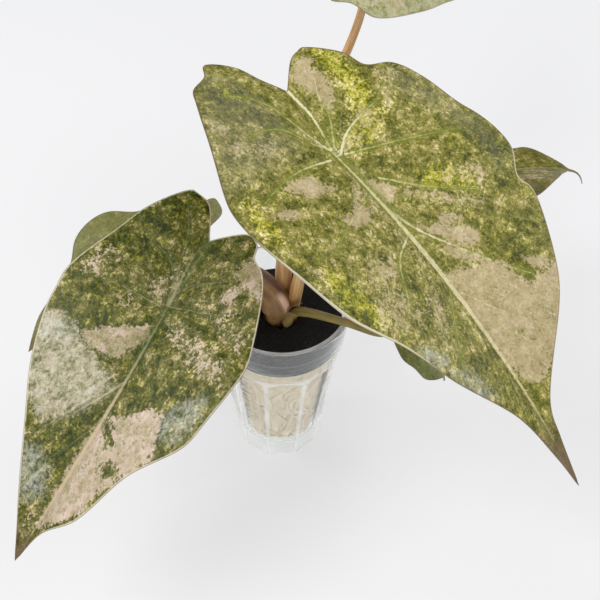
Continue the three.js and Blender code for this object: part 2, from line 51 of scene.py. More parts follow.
# The same sizes as the solids that these pieces stand for
GAP = 0.3
TUMBLER = Sizes(
    height=140.0, rim_radius=44.0, foot_radius=29.5, lip=1.4, facets=10, facet_turn=25.0,
    facet_foot=28.2, facet_shoulder=38.3, shoulder_height=98.0, scallop_height=6.0,
    scallop_flare=2.6, floor=13.0, floor_corner=6.0, bore_floor=26.0, bore_shoulder=36.4,
    bore_rim=41.2,
)
BORE_CORNER = TUMBLER.floor + TUMBLER.floor_corner
COLLAR = Sizes(top=122.0, thickness=13.0, hole=13.2, edge=1.2, clearance=0.4)
ROOT_BALL = (TUMBLER.floor + GAP, COLLAR.top - COLLAR.thickness - GAP)
ROOTSTOCK = Sizes(behind=3.0, top=113.0)
BLADE = Sizes(
    thickness=0.7, rib_height=1.9, rib_fade=0.8, seam_fade=0.9, lobe_share=0.36, lobe_bend=0.3,
    drip_from=0.86, wave_end=1.15, ease=-20, grid=1.5,
)
RELIEF = Sizes(
    swell=0.75, swell_width=7.0, groove=0.5, groove_width=1.4, valley=0.4, valley_width=2.2,
    full_size=150.0, margin_thickness=0.6, rib_half=1.9, rib_tip_half=0.6, vein_ridge=0.35,
    ridge_width=0.7,
)
STALK = Sizes(straight_below=0.5, neck=8.0)
SCALE = Sizes(
    start=0.08, end=0.29, turn=112.0, thickness=0.5, clearance=0.5, flare=2.4, teeth=2.5,
    tooth_depth=0.4,
)
# Two sides of the sheath, each a way out from the stalk and where its mask begins and is full: the ridge
# side carries a painted pale highlight, the lee side is darker higher up
SHEATH = dict(ridge=((0.78, -0.54, 0.32), 0.93, 0.985), lee=((0.93, -0.08, 0.36), 0.88, 0.96))

# The rule of side veins: they start at these shares of the length, lean forward and fan out
# towards the tip; behind the stalk they leave it at these angles and bend on
VEIN_RULE = Sizes(
    starts=(0.01, 0.12, 0.26, 0.42, 0.6, 0.76), lean=0.3, fan=6.6, reach=0.42, half=0.45,
    rear_turns=(100, 128, 152), rear_bend=26, rear_reach=0.4, rear_half=0.5,
)
CAMERA = Sizes(place=(11.6, -456.5, 722.4), down=52.0, roll=2.4, lens=72.0, sensor=36.0)

# How ragged and how soft the outline of each kind of mark is
# Of these, the sheen marks are painted highlights, the cool marks a painted grey reflection, and the veil
# a pale film that is partly painted shine
MARK_EDGES = dict(
    beige=(1.0, 0.9), veil=(1.2, 3.0), haze=(1.5, 2.5), sheen=(1.2, 4.0), lime=(1.8, 3.5),
    dark=(2.0, 3.0), cool=(1.5, 7.0),
)

# What a leaf has unless its own list says otherwise. Veins are (points, half width at the stalk's
# end); marks are outlines by kind. The midrib is its half width by share of the length; the rim is
# the width of the pale margin by u, on the left and on the right. The greens go from the darkest
# to the palest cells of the marbling, the flesh is the same for the beige areas, and the vein
# tones are the line and the border, how strongly they show, and the midrib near and far.
USUAL = dict(
    slot="variegated_leaf", skin="tan_stalk", roll=0, sway=0, drip=0, hook=0, veins=None, marks={},
    midrib=[(-0.03, 0), (0.02, 0.8), (0.3, 0.9), (0.9, 0.3), (1, 0)],
    stray=0.0, pink=0.3, rough=0.26, gloss=0.25, creases=0.2, tip=0.93, seam=None,
    flesh=[
        (0.0, 122, 116, 64), (0.25, 156, 142, 100), (0.55, 175, 159, 120), (0.8, 190, 174, 138),
        (1.0, 208, 193, 164),
    ],
    vein_tones=((150, 148, 100), (100, 106, 52), 0.35, (140, 138, 88), (160, 152, 110)),
)

FRONT_RIGHT_MARKS = dict(
    beige=[
        [(0, -45), (0, -36), (1, -29), (4, -24), (10, -24), (16, -17), (15, -24), (14, -30), (13, -36),
         (9, -39), (4, -43)],
        [(9, -58), (11, -52), (14, -49), (17, -52), (16, -57), (12, -60)],
        [(21, -9), (24, -7), (29, -13), (34, -12), (34, -6), (37, -10), (40, -19), (39, -27), (34, -30),
         (31, -30), (32, -24), (29, -18)],
        [(-57, 22), (-56, 30), (-52, 31), (-49, 27), (-45, 29), (-40, 29), (-34, 27), (-26, 23),
         (-23, 16), (-31, 17), (-38, 17), (-44, 16), (-48, 15), (-53, 17)],
        [(19, 1), (23, 4), (29, 10), (34, 12), (37, 7), (38, 2)],
        [(54, 4), (60, 11), (63, 17), (68, 20), (72, 27), (77, 30), (81, 30), (82, 23), (79, 20),
         (73, 15), (66, 11), (60, 7)],
        [(59, 18), (62, 25), (67, 29), (69, 28), (66, 21), (63, 16)],
        [(85, 1), (87, 9), (93, 17), (92, 25), (100, 32), (107, 33), (116, 35), (114, 47), (115, 57),
         (130, 50), (141, 39), (151, 29), (157, 19), (161, 12), (157, 4), (144, 0), (131, 0), (115, 0),
         (102, 0), (92, 0)],
        [(70, 11), (79, 17), (90, 23), (95, 25), (90, 19), (84, 12), (77, 10)],
        [(102, 41), (108, 50), (115, 54), (115, 49), (109, 42)],
    ],
    haze=[
        [(-34, -53), (-34, -46), (-28, -42), (-28, -34), (-24, -25), (-20, -29), (-18, -39), (-23, -43),
         (-27, -49), (-25, -55), (-29, -57)],
        [(-51, -48), (-49, -44), (-43, -42), (-40, -48), (-41, -51), (-47, -50)],
        [(93, 50), (96, 56), (99, 55), (98, 51)],
        [(96, 45), (100, 54), (106, 50), (103, 45), (99, 44)],
        [(45, 47), (50, 55), (57, 58), (58, 52), (52, 46)],
        [(-2, 4), (-9, 14), (-14, 24), (-13, 32), (-6, 38), (2, 31), (6, 14), (2, 3)],
        [(42, 36), (45, 47), (54, 53), (63, 53), (62, 47), (53, 41), (48, 35)],
        [(42, -68), (47, -63), (50, -66), (47, -70)],
        [(55, -35), (63, -20), (70, -22), (73, -34), (68, -45), (59, -43)],
        [(74, -48), (74, -32), (87, -26), (101, -34), (95, -50), (83, -54)],
        [(83, -10), (94, -13), (110, -19), (114, -29), (100, -26), (87, -20)],
        [(-50, -16), (-46, -7), (-41, -10), (-44, -19)],
        [(-25, 51), (-18, 62), (-13, 62), (-16, 52)],
        [(32, 16), (43, 21), (61, 40), (73, 52), (65, 37), (51, 21), (38, 11)],
        [(9, -4), (17, 2), (31, 2), (49, 1), (67, -1), (79, -4), (73, -9), (58, -9), (37, -8), (20, -8)],
    ],
    lime=[
        [(-58, 34), (-47, 46), (-34, 42), (-19, 43), (-6, 36), (0, 23), (2, 7), (-5, 5), (-12, 21),
         (-23, 28), (-36, 33), (-46, 31)],
        [(-6, -69), (2, -65), (17, -65), (25, -70), (18, -75), (5, -75)],
        [(44, 73), (50, 74), (61, 69), (61, 67), (51, 69)],
        [(-69, -27), (-59, -22), (-55, -25), (-62, -29)],
        [(35, 23), (36, 33), (41, 42), (49, 48), (58, 50), (64, 51), (60, 43), (52, 35), (47, 25)],
        [(45, -64), (50, -57), (62, -53), (76, -49), (90, -46), (88, -55), (75, -62), (64, -66),
         (52, -68)],
        [(0, 4), (-6, 14), (-10, 24), (-10, 34), (-4, 40), (4, 34), (8, 20), (7, 8)],
    ],
    dark=[
        [(70, 47), (86, 62), (103, 58), (107, 43), (95, 32), (83, 28), (76, 33), (79, 46)],
        [(21, 57), (33, 76), (54, 74), (59, 65), (43, 58), (30, 51)],
        [(140, -6), (159, 4), (170, 6), (182, 1), (173, -9), (150, -16)],
        [(-73, -23), (-55, -6), (-24, -5), (-21, -16), (-48, -29), (-62, -41)],
    ],
    # Painted highlights, where the lamps would mirror in the leaf
    sheen=[
        [(106, -45), (111, -37), (121, -33), (122, -42), (114, -47)],
        [(125, -37), (132, -26), (143, -22), (153, -20), (144, -31), (134, -37)],
    ],
    # A painted grey reflection of the sky
    cool=[
        [(-81, -28), (-68, -17), (-49, -11), (-33, -11), (-13, -17), (-12, -42), (-11, -66), (-11, -78),
         (-39, -64), (-66, -45)],
        [(-22, 57), (-4, 67), (18, 75), (39, 77), (59, 71), (61, 63), (40, 65), (17, 61), (-5, 52),
         (-18, 50)],
    ],
)

FRONT_RIGHT = dict(
    name="front_right", seed=3.0, attach=(28.1, -1, 265.1), heading=-42.8, pitch=-15, droop=-25.1,
    bend=-5, sway=8, cup=15, length=219, waves=(1.6, 4.5, 0.6),
    course=[(6.8, 1.8), (9, 3.5, 142), (15, 5, 190), (23, 2, 235)], radii=[4, 4.1, 3, 2.5, 2.2, 2.2],
    right=[
        (-47.5, -8), (-60, 0.5), (-73.5, 8), (-83, 23.5), (-77, 28.5), (-72.5, 41), (-65.5, 45.5),
        (-14.5, 74.5), (-1, 79), (37, 77.5), (71, 69), (100.5, 51.5), (129.5, 39), (168, 14),
        (196, 5.5), (219, 0),
    ],
    left=[
        (-47.5, 8), (-60.5, 23.5), (-61.5, 30), (-62, 31.5), (-44.5, 47.5), (-30.5, 51), (-21.5, 62),
        (-5, 68.5), (18, 74), (31, 78), (44.5, 79), (56, 77), (68.5, 69), (78.5, 71.5), (120.5, 52.5),
        (173, 8.5), (190.5, 4), (219, 0),
    ],
    veins=[
        ([(-47, 8), (-28, 7), (-3, 0)], 1.0),
        ([(-5, 0), (-15, -8), (-28, -16), (-32, -26), (-33, -40)], 0.6),
        ([(-5, 0), (-16, -4), (-42, -10), (-52, -16), (-61, -28)], 0.7),
        ([(-1, 0), (-21, 14), (-33, 18), (-44, 25)], 0.6),
        ([(0, 3), (-6, 12), (-9, 25), (-10, 40)], 0.9),
        ([(2, 4), (14, 30), (30, 63)], 0.6),
        ([(24, 9), (43, 25), (62, 47)], 0.6),
        ([(36, 0), (57, 5), (98, 29), (112, 40)], 0.8),
        ([(0, -6), (-3, -26), (-2, -43), (2, -60)], 0.7),
        ([(58, -2), (66, -18), (89, -34), (95, -46)], 0.7),
        ([(28, -2), (34, -24), (44, -50)], 0.35),
        ([(92, -1), (108, -14), (128, -28)], 0.35),
        ([(96, 1), (118, 14), (138, 30)], 0.35),
    ],
    marks=FRONT_RIGHT_MARKS,
    midrib=[(-0.03, 0), (0.01, 0.4), (0.1, 0.7), (0.32, 1.3), (0.6, 1.0), (0.75, 0.6), (0.88, 0.15),
            (0.97, 0)],
    rim=(
        [(-60, 0.1), (48, 0.15), (58, 0.6), (76, 0.6), (92, 0.15), (150, 0.3), (219, 0)],
        [(-83, 0.1), (-40, 0.2), (10, 0.3), (35, 1.1), (70, 1.3), (105, 0.9), (125, 0.2), (219, 0)],
    ),
    greens=[
        (0.0, 52, 56, 4), (0.2, 84, 86, 22), (0.4, 112, 110, 42), (0.56, 138, 131, 64),
        (0.72, 166, 154, 98), (0.9, 202, 187, 148),
    ],
    vein_tones=((176, 172, 104), (112, 120, 34), 1.0, (208, 198, 148), (216, 204, 164)),
    tone=-0.01, stray=0.5, pink=0.25, tip=0.86,
)

FRONT_LEFT_MARKS = dict(
    # A pale film, partly the leaf's own mottling and partly painted shine
    veil=[
        [(32, -58), (28, -47), (31, -38), (36, -32), (39, -23), (43, -17), (47, -7), (50, -2), (62, -8),
         (74, -16), (84, -28), (79, -39), (65, -47), (47, -54)],
    ],
    beige=[
        [(33, -35), (26, -26), (13, -3), (19, 0), (25, -3), (31, -7), (36, -9), (38, -19), (38, -26)],
        [(55, 0), (66, 2), (61, 12), (52, 22), (52, 31), (62, 35), (73, 38), (87, 30), (98, 22),
         (111, 20), (124, 9), (132, 1), (124, -1), (98, -2), (82, -2), (67, -1)],
        [(-11, 28), (-17, 28), (-21, 31), (-20, 35), (-15, 35), (-11, 34)],
        [(-28, 28), (-37, 30), (-43, 33), (-36, 40), (-27, 45), (-19, 48), (-20, 42), (-23, 36)],
    ],
    green=[
        [(41, -18), (37, -13), (36, -4), (42, -3), (46, -7), (47, -14)],
        [(68, 1), (66, 6), (77, 15), (79, 11)],
        [(87, 14), (83, 17), (83, 25), (87, 29), (91, 20)],
    ],
    haze=[
        [(9, 8), (9, 14), (10, 25), (19, 47), (27, 50), (29, 40), (22, 23), (15, 9)],
        [(-7, -16), (-12, -11), (-18, -7), (-26, -11), (-21, -4), (-13, -2), (-7, -4), (-3, -6),
         (-3, -12)],
        [(6, -26), (3, -22), (4, -18), (10, -19), (12, -24)],
        [(9, 6), (10, 11), (12, 22), (14, 32), (21, 39), (22, 32), (19, 22), (19, 16)],
        [(-2, 26), (-3, 33), (-9, 36), (-8, 39), (-2, 36), (4, 40), (6, 37), (2, 31)],
        [(4, 43), (-1, 47), (1, 52), (6, 50), (12, 51), (12, 49)],
        [(-2, -51), (-8, -49), (-13, -45), (-21, -37), (-15, -35), (-7, -40), (0, -41), (3, -48)],
        [(1, -39), (-2, -36), (3, -35), (4, -38)],
        [(107, -20), (99, -15), (95, -9), (103, -10), (111, -12), (110, -18)],
        [(-48, -36), (-53, -30), (-51, -27), (-48, -20), (-48, -24), (-49, -30)],
        [(98, -29), (84, -28), (74, -22), (76, -13), (88, -13), (101, -15), (112, -14), (120, -16)],
        [(124, -13), (114, -9), (116, 0), (125, 1), (135, -3)],
    ],
    dark=[
        [(-38, -3), (-45, 5), (-42, 11), (-32, 11), (-23, 8), (-29, 3)],
        [(-40, -36), (-56, -25), (-58, -17), (-38, -9), (-24, -8), (-17, -11), (-18, -26), (-24, -35)],
        [(89, -29), (79, -19), (63, -8), (54, -1), (65, -1), (78, -2), (100, -2), (122, -2), (124, -11),
         (112, -20), (98, -27)],
        [(24, -55), (15, -53), (13, -45), (18, -38), (27, -36), (31, -43), (30, -50)],
        [(-38, 24), (-43, 32), (-35, 40), (-26, 46), (-19, 40), (-25, 29)],
        [(36, -38), (26, -30), (11, -2), (20, 3), (32, -5), (40, -12), (42, -26)],
        [(9, -46), (5, -38), (8, -28), (15, -22), (22, -25), (23, -33), (17, -41)],
    ],
    # Painted highlights, where the lamps would mirror in the leaf
    sheen=[
        [(102, -31), (96, -21), (104, -10), (118, -6), (126, -15)],
        [(35, -56), (31, -46), (34, -35), (42, -38), (46, -50)],
        [(53, 31), (47, 35), (39, 41), (36, 48), (43, 50), (51, 48), (61, 43), (61, 35)],
    ],
)

FRONT_LEFT = dict(
    name="front_left", seed=11.0, attach=(-58.2, -72.7, 219.9), heading=-113.1, pitch=-14.4,
    droop=-24.3, bend=-17.6, roll=0.1, sway=3, cup=15, length=153, waves=(1.2, 4, 2.1),
    course=[(-3.6, -0.4), (-3, 0.5, 131), (-9, 1, 148), (-23, -13, 182), (-44, -50, 212)],
    radii=[6.2, 9.6, 7.4, 3.9, 2.7, 2.3, 2.3],
    right=[
        (-45, -3), (-64.5, 7.5), (-67, 16), (-67.5, 18.5), (-47, 36), (-28.5, 44.5), (3.5, 57),
        (15, 57.5), (30.5, 57), (56, 50), (88, 35.5), (121.5, 18), (139.5, 7.5), (153, 0),
    ],
    left=[
        (-45, 3), (-53.5, 20), (-54, 24.5), (-49, 31), (-41.5, 33), (-34, 41.5), (-23, 47.5),
        (1.5, 54.5), (17.5, 58.5), (49, 53), (59, 50), (83.5, 32), (116, 19), (133, 5), (153, 0),
    ],
    veins=[
        ([(-2, 0), (-36, 0), (-44, 3)], 0.9),
        ([(1, -4), (0, -30), (1, -39), (5, -50)], 0.6),
        ([(12, -1), (22, -17), (32, -32), (38, -46)], 0.6),
        ([(47, -1), (64, -10), (79, -19), (90, -28)], 0.8),
        ([(-1, -1), (-20, -4), (-45, -10), (-56, -16)], 0.6),
        ([(-4, 0), (-22, -8), (-26, -13), (-31, -24)], 0.5),
        ([(-1, 2), (-2, 23), (4, 36), (8, 48)], 0.5),
        ([(-4, -1), (-12, 3), (-17, 9), (-24, 27)], 0.5),
        ([(7, 2), (26, 40)], 0.5),
        ([(30, 1), (44, 18), (52, 36)], 0.35),
        ([(60, 1), (74, 12), (88, 24)], 0.35),
        ([(72, -1), (92, -10), (108, -18)], 0.3),
    ],
    marks=FRONT_LEFT_MARKS,
    midrib=[(-0.03, 0), (0.02, 0.3), (0.2, 0.7), (0.45, 0.9), (0.75, 0.8), (0.97, 0.1)],
    rim=(
        [(-60, 0.6), (120, 0.7), (153, 0)],
        [(-67, 0.5), (20, 0.8), (120, 0.6), (153, 0)],
    ),
    greens=[
        (0.0, 34, 42, 2), (0.22, 60, 66, 10), (0.42, 86, 87, 30), (0.6, 113, 108, 56),
        (0.76, 150, 137, 92), (0.92, 184, 166, 134),
    ],
    flesh=[
        (0.0, 122, 118, 72), (0.25, 160, 147, 112), (0.55, 184, 167, 143), (0.8, 202, 185, 168),
        (1.0, 216, 202, 190),
    ],
    vein_tones=((150, 142, 100), (54, 72, 22), 0.62, (132, 134, 94), (202, 184, 146)),
    tone=0.01, stray=0.4, pink=0.7, gloss=0.2, rough=0.24, creases=0.9, seam=(84, 104, 66),
    skin="brown_sheath",
)

REAR_TOP_MARKS = dict(
    haze=[
        [(-50, -22), (-30, -30), (-10, -34), (0, -50), (-25, -48), (-48, -34)],
        [(60, -4), (76, -16), (96, -14), (88, -3)],
    ],
    beige=[
        [(20, 4), (34, 18), (52, 30), (60, 20), (44, 6)],
    ],
    dark=[
        [(-40, 6), (-20, 24), (10, 30), (30, 44), (40, 36), (10, 8)],
    ],
)

REAR_TOP = dict(
    name="rear_top", seed=19.0, attach=(48.6, 134.2, 319.9), heading=49.1, pitch=-5.5, droop=-42.6,
    bend=0, roll=48.6, cup=12, length=159.5, waves=(1.2, 4, 0.2),
    course=[(0.5, 11), (0.5, 15.5, 142), (5.5, 48, 200), (41, 111, 276.5)],
    radii=[4, 5.2, 3.2, 2.5, 2.2, 2.2],
    right=[
        (-39.5, 0), (-53, 4.5), (-62, 13.5), (-63, 23), (-50.5, 31.5), (-41, 45), (-5.5, 56.5),
        (17, 58.5), (39, 58.5), (63.5, 46), (87.5, 32.5), (111.5, 19.5), (130.5, 9.5), (146.5, 3.5),
        (159.5, 0),
    ],
    left=[
        (-39.5, 0), (-52.5, 5), (-61, 13), (-62, 21), (-52.5, 34.5), (-32, 49.5), (0, 59), (19, 60),
        (40, 56), (64, 44.5), (87.5, 32), (111.5, 19), (131, 9.5), (146.5, 3.5), (159.5, 0),
    ],
    marks=REAR_TOP_MARKS,
    greens=[(0.0, 92, 94, 50), (0.3, 128, 128, 76), (0.6, 160, 159, 114), (0.9, 178, 174, 142)],
    tone=0.12, stray=0.2, rim=[[(0, 0.4)]] * 2,
)

REAR_RIGHT_MARKS = dict(
    haze=[
        [(60, -2), (78, -6), (84, -14), (72, -18), (58, -10)],
        [(40, -20), (56, -28), (62, -20), (48, -12)],
    ],
)

REAR_RIGHT = dict(
    name="rear_right", seed=27.0, attach=(93.5, 37.6, 197.7), heading=39.1, pitch=-0.5, droop=-28.9,
    bend=-24, roll=-17.8, drip=-40, hook=-47.3, cup=12, length=120, waves=(1, 3.5, 1.2),
    course=[(7.8, 9.2), (12, 12, 145), (38, 24, 178), (74.5, 32.5, 190.5)],
    radii=[2.8, 2.9, 2.5, 2.2, 2, 2],
    right=[
        (-27.5, 0), (-36.5, 3.5), (-42.5, 9.5), (-43, 15), (-36.5, 25), (-22, 36), (0, 44),
        (16.5, 46.5), (35, 45), (54.5, 36.5), (71.5, 25), (84.5, 14), (93.5, 7.5), (99, 2.5), (103, 1),
        (112, 1), (120, 0),
    ],
    left=[
        (-27.5, 0), (-36.5, 3), (-42.5, 8), (-43, 13), (-36.5, 21.5), (-22, 30.5), (-0.5, 37.5),
        (16, 39.5), (34, 38), (52.5, 31), (67.5, 22.5), (82.5, 23), (93, 13.5), (99.5, 6.5), (102.5, 2),
        (111.5, 1), (120, 0),
    ],
    marks=REAR_RIGHT_MARKS,
    greens=[(0.0, 62, 62, 2), (0.35, 94, 89, 14), (0.6, 118, 110, 40), (0.9, 160, 146, 96)],
    tone=-0.02, stray=0.35, gloss=0.08, rim=[[(0, 0.15)]] * 2,
)

REAR_LEFT = dict(
    name="rear_left", seed=35.0, attach=(-79.5, 7.8, 184.3), heading=-137.1, pitch=-5.8, droop=-34.3,
    bend=-1.2, roll=8.1, cup=12, length=99.5, waves=(1, 3.5, 2.6),
    course=[(-7.8, 8.2), (-13, 10.5, 140), (-34, 12, 164), (-60, 11, 177)],
    radii=[2.8, 2.9, 2.5, 2.2, 2, 2],
    right=[
        (-22.5, 0), (-29.5, 2.5), (-34, 7), (-31.5, 12), (-22.5, 15.5), (-7.5, 18), (8, 31.5),
        (32, 30.5), (46.5, 18.5), (62, 12.5), (79.5, 9.5), (91.5, 4), (99.5, 0),
    ],
    left=[
        (-22.5, 0), (-35.5, 0.5), (-46, 3.5), (-44.5, 12), (-38.5, 23), (-23, 27), (0.5, 33.5),
        (22, 34), (42, 28), (59.5, 21), (77, 12.5), (90, 5), (99.5, 0),
    ],
    greens=[(0.0, 96, 97, 46), (0.5, 121, 121, 68), (1.0, 140, 138, 88)],
    tone=0.0, stray=0.2, rim=[[(0, 0.25)]] * 2,
)

LOW_RIGHT = dict(
    name="low_right", seed=43.0, attach=(77.2, -22, 149), heading=-7.8, pitch=-41.3, droop=-44.9,
    bend=10.7, roll=6.3, cup=10, length=66, waves=(0.8, 3, 0.4),
    course=[(4.6, -5.2), (10.5, -7.5, 135.5), (39, -22, 146.5), (62, -26.5, 142.5)],
    radii=[2.7, 2.9, 2.5, 2.1, 1.9, 1.9],
    right=[
        (-17.5, 0), (-23, 2), (-26.5, 5), (-26.5, 8), (-21.5, 13), (-10.5, 18), (0, 28), (9.5, 28.5),
        (20, 28.5), (30.5, 23), (40, 15.5), (49, 9.5), (56.5, 5.5), (62.5, 2), (66, 0),
    ],
    left=[
        (-17.5, 0), (-23, 1.5), (-27, 4.5), (-27.5, 7.5), (-23, 12), (-14, 17.5), (0, 20.5), (8.5, 21),
        (17.5, 19.5), (28, 16), (38, 11.5), (48.5, 7.5), (56, 4), (62, 1.5), (66, 0),
    ],
    greens=[(0.0, 66, 78, 16), (0.4, 94, 104, 38), (0.7, 118, 124, 58), (1.0, 146, 148, 88)],
    tone=0.0, gloss=0.1, slot="old_leaf", skin="olive_stalk", rim=[[(0, 0.25)]] * 2,
)

LEAVES = [Sizes(**{**USUAL, **leaf}) for leaf in (
    FRONT_RIGHT, FRONT_LEFT, REAR_TOP, REAR_RIGHT, REAR_LEFT, LOW_RIGHT,
)]


# Small helpers


def srgb(red, green, blue):
    """Linear colour from the 0 to 255 of a picture."""
    def straight(value):
        value /= 255
        return value / 12.92 if value <= 0.04045 else ((value + 0.055) / 1.055) ** 2.4
    return (straight(red), straight(green), straight(blue), 1.0)


def smooth_step(value, low, high):
    share = np.clip((value - low) / (high - low), 0, 1)
    return share * share * (3 - 2 * share)


def bell(value, width):
    return np.exp(-((value / width) ** 2))


def unit(vectors):
    return vectors / np.linalg.norm(vectors, axis=-1, keepdims=True)


def run_of(path):
    """Length of a path up to each of its points."""
    return np.r_[0, np.cumsum(np.linalg.norm(np.diff(path, axis=0), axis=1))]


def turns(sides):
    return np.linspace(0, 2 * math.pi, sides, endpoint=False)


def circle(radius, angles, height):
    """Points at a radius round the vertical axis; any of the three may be an array."""
    parts = radius * np.cos(angles), radius * np.sin(angles), height
    return np.stack(np.broadcast_arrays(*parts), -1)


def curve_points(points, places):
    """Centripetal spline through points, at shares of its length. Also gives its own parameter
    there."""
    points = np.asarray(points, float)
    ends = np.vstack([2 * points[0] - points[1], points, 2 * points[-1] - points[-2]])

    def at(parameter):
        place = np.clip(parameter, 0, 1) * (len(points) - 1)
        index = np.minimum(place.astype(int), len(points) - 2)
        share = (place - index)[:, None]
        knots = [ends[index + k] for k in range(4)]
        first, mid, last = (np.sum((b - a) ** 2, 1)[:, None] ** 0.25 for a, b in zip(knots, knots[1:]))
        before, start, end, after = knots
        leave = (start - before) / first - (end - before) / (first + mid) + (end - start) / mid
        reach = (end - start) / mid - (after - start) / (mid + last) + (after - end) / last
        leave, reach = leave * mid, reach * mid
        bend = -3 * start + 3 * end - 2 * leave - reach
        twist = 2 * start - 2 * end + leave + reach
        return start + leave * share + bend * share**2 + twist * share**3

    fine = np.linspace(0, 1, 801)
    length = run_of(at(fine))
    parameter = np.interp(places * length[-1], length, fine)
    return at(parameter), parameter


def distance_to(points, line):
    """Distance of 2-D points from a line of segments, the share of the line at the foot, and the
    signed distance from the nearest segment's own straight line."""
    line = np.asarray(line, float)
    steps = np.diff(line, axis=0)
    lengths = np.linalg.norm(steps, axis=1)
    passed = np.r_[0, np.cumsum(lengths)]
    best = np.tile((FAR, 0.0, 0.0), (len(points), 1))
    for start, step, length, begun in zip(line, steps, lengths, passed):
        along = np.clip((points - start) @ step / length**2, 0, 1)
        gap = np.linalg.norm(points - start - along[:, None] * step, axis=1)
        cross = (points - start) @ np.array((-step[1], step[0])) / length
        near = gap < best[:, 0]
        best[near] = np.stack([gap, begun + along * length, cross], 1)[near]
    best[:, 1] /= passed[-1]
    return best.T


def inside_by(points, outline):
    """Distance of 2-D points from an outline, positive inside it."""
    ring = [*outline, outline[0]]
    gap = distance_to(points, ring)[0]
    x, y = points.T
    odd = np.zeros(len(points), bool)
    for (x0, y0), (x1, y1) in zip(ring, ring[1:]):
        if y0 != y1:
            odd ^= ((y0 > y) != (y1 > y)) & (x < x0 + (y - y0) * (x1 - x0) / (y1 - y0))
    return np.where(odd, gap, -gap)


# Meshes


def piece(name, points, faces, looks, face_looks=None):
    """A smooth mesh piece from points in millimetres, riding on the part's one body. A fine margin
    that would stand some hundredths of a millimetre out of the solids' box is held inside it."""
    mesh = bpy.data.meshes.new(name)
    low, high = np.array(cad_box[0]) + MARGIN, np.array(cad_box[1]) - MARGIN
    low[2] = cad_box[0][2]
    mesh.from_pydata(np.clip(np.reshape(points, (-1, 3)) * MM, low, high).tolist(), [], faces)
    for look in looks:
        mesh.materials.append(look)
    if face_looks:
        mesh.polygons.foreach_set("material_index", face_looks)
    mesh.polygons.foreach_set("use_smooth", [True] * len(mesh.polygons))
    mesh.update()
    made = link(name, mesh)
    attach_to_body(made, "root")
    return made


def link(name, data):
    made = bpy.data.objects.new(name, data)
    bpy.context.scene.collection.objects.link(made)
    return made


def add_field(made, name, values):
    """Stores a number or a vector at each point for the materials to read."""
    values = np.asarray(values, np.float32)
    kind, key = ("FLOAT", "value") if values.ndim == 1 else ("FLOAT_VECTOR", "vector")
    made.data.attributes.new(name, kind, "POINT").data.foreach_set(key, values.ravel())


def ring_faces(rings, sides, base=0, closed=True):
    """Faces between rings of points, and over both ends where they are closed."""
    faces = []
    for ring in range(base, base + (rings - 1) * sides, sides):
        for side in range(sides):
            a, b = ring + side, ring + (side + 1) % sides
            faces.append((a, b, b + sides, a + sides))
    if closed:
        faces.append(tuple(range(base, base + sides))[::-1])
        faces.append(tuple(range(base + (rings - 1) * sides, base + rings * sides)))
    return faces


def sweep(path, radii, sides, shape=1.0):
    """Rings of points along a path, each square to it, without needless twist."""
    ways = unit(np.gradient(path, axis=0))
    normal = np.cross(ways[0], (1.0, 0.0, 0.0))
    if np.linalg.norm(normal) < 0.1:
        normal = np.cross(ways[0], (0.0, 1.0, 0.0))
    angles = turns(sides)
    rings = []
    for place, way, radius in zip(path, ways, radii):
        normal = unit(normal - way * (normal @ way))
        across, over = radius * shape * np.cos(angles), radius * shape * np.sin(angles)
        rings.append(place + np.outer(across, normal) + np.outer(over, np.cross(way, normal)))
    return np.array(rings)


# Leaf blades


def midrib_table(leaf):
    """Points and frames along the midrib, from behind the stalk to past the tip."""
    start, end, step = -0.75, 1.05, 0.01
    s = np.arange(start, end + step / 2, step)
    hang = leaf.droop * np.where(s > 0, s, s * BLADE.lobe_bend)
    point = smooth_step(s, BLADE.drip_from, 1)
    pitch = np.radians(leaf.pitch + hang + leaf.drip * point)
    heading = np.radians(leaf.heading + leaf.bend * np.maximum(s, 0) + leaf.hook * point)
    along = circle(np.cos(pitch), heading, np.sin(pitch))
    level = circle(1.0, heading + math.pi / 2, 0.0)
    up = np.cross(along, level)
    roll = math.radians(leaf.roll)
    side = level * math.cos(roll) + up * math.sin(roll)
    normal = up * math.cos(roll) - level * math.sin(roll)
    steps = (along[1:] + along[:-1]) * 0.5 * step * leaf.length
    points = np.vstack([np.zeros(3), np.cumsum(steps, axis=0)])
    points += np.array(leaf.attach) - points[round(-start / step)]
    return s, points, side, normal


def at_midrib(leaf, u, field):
    """Points, sides or normals of the midrib's table at u."""
    table = leaf.table
    return np.stack([np.interp(u / leaf.length, table[0], part) for part in table[field].T], -1)


def seam_shift(leaf, u):
    """Where the seam lies across the leaf: it may lean to the left behind the stalk."""
    return leaf.sway * smooth_step(u / leaf.left[0][0], 0, 1)


def surface(leaf, u, v):
    """Points of the smooth middle surface."""
    shift = seam_shift(leaf, u)
    gap, rise = np.abs(v - shift), math.radians(leaf.cup)
    curl = math.radians(BLADE.ease) / leaf.length
    across = (np.sin(rise + curl * gap) - math.sin(rise)) / curl
    lift = (math.cos(rise) - np.cos(rise + curl * gap)) / curl
    middle, side, normal = (at_midrib(leaf, u, field) for field in (1, 2, 3))
    return middle + side * (shift + np.sign(v - shift) * across)[..., None] + normal * lift[..., None]


def surface_normal(leaf, u, v, reach=0.5):
    shift = seam_shift(leaf, u)
    near = np.abs(v - shift) < reach
    away = np.where(near, shift + 2 * reach, v)
    along = surface(leaf, u + reach, away) - surface(leaf, u - reach, away)
    across = surface(leaf, u, away + reach) - surface(leaf, u, away - reach)
    return unit(np.where(near[..., None], at_midrib(leaf, u, 3), np.cross(along, across)))


def inner_place(leaf, along):
    notch, share = leaf.left[0][0], BLADE.lobe_share
    seam = -notch / (leaf.length - notch)
    return np.where(along < share, seam * along / share, seam + (1 - seam) * (along - share) / (1 - share))


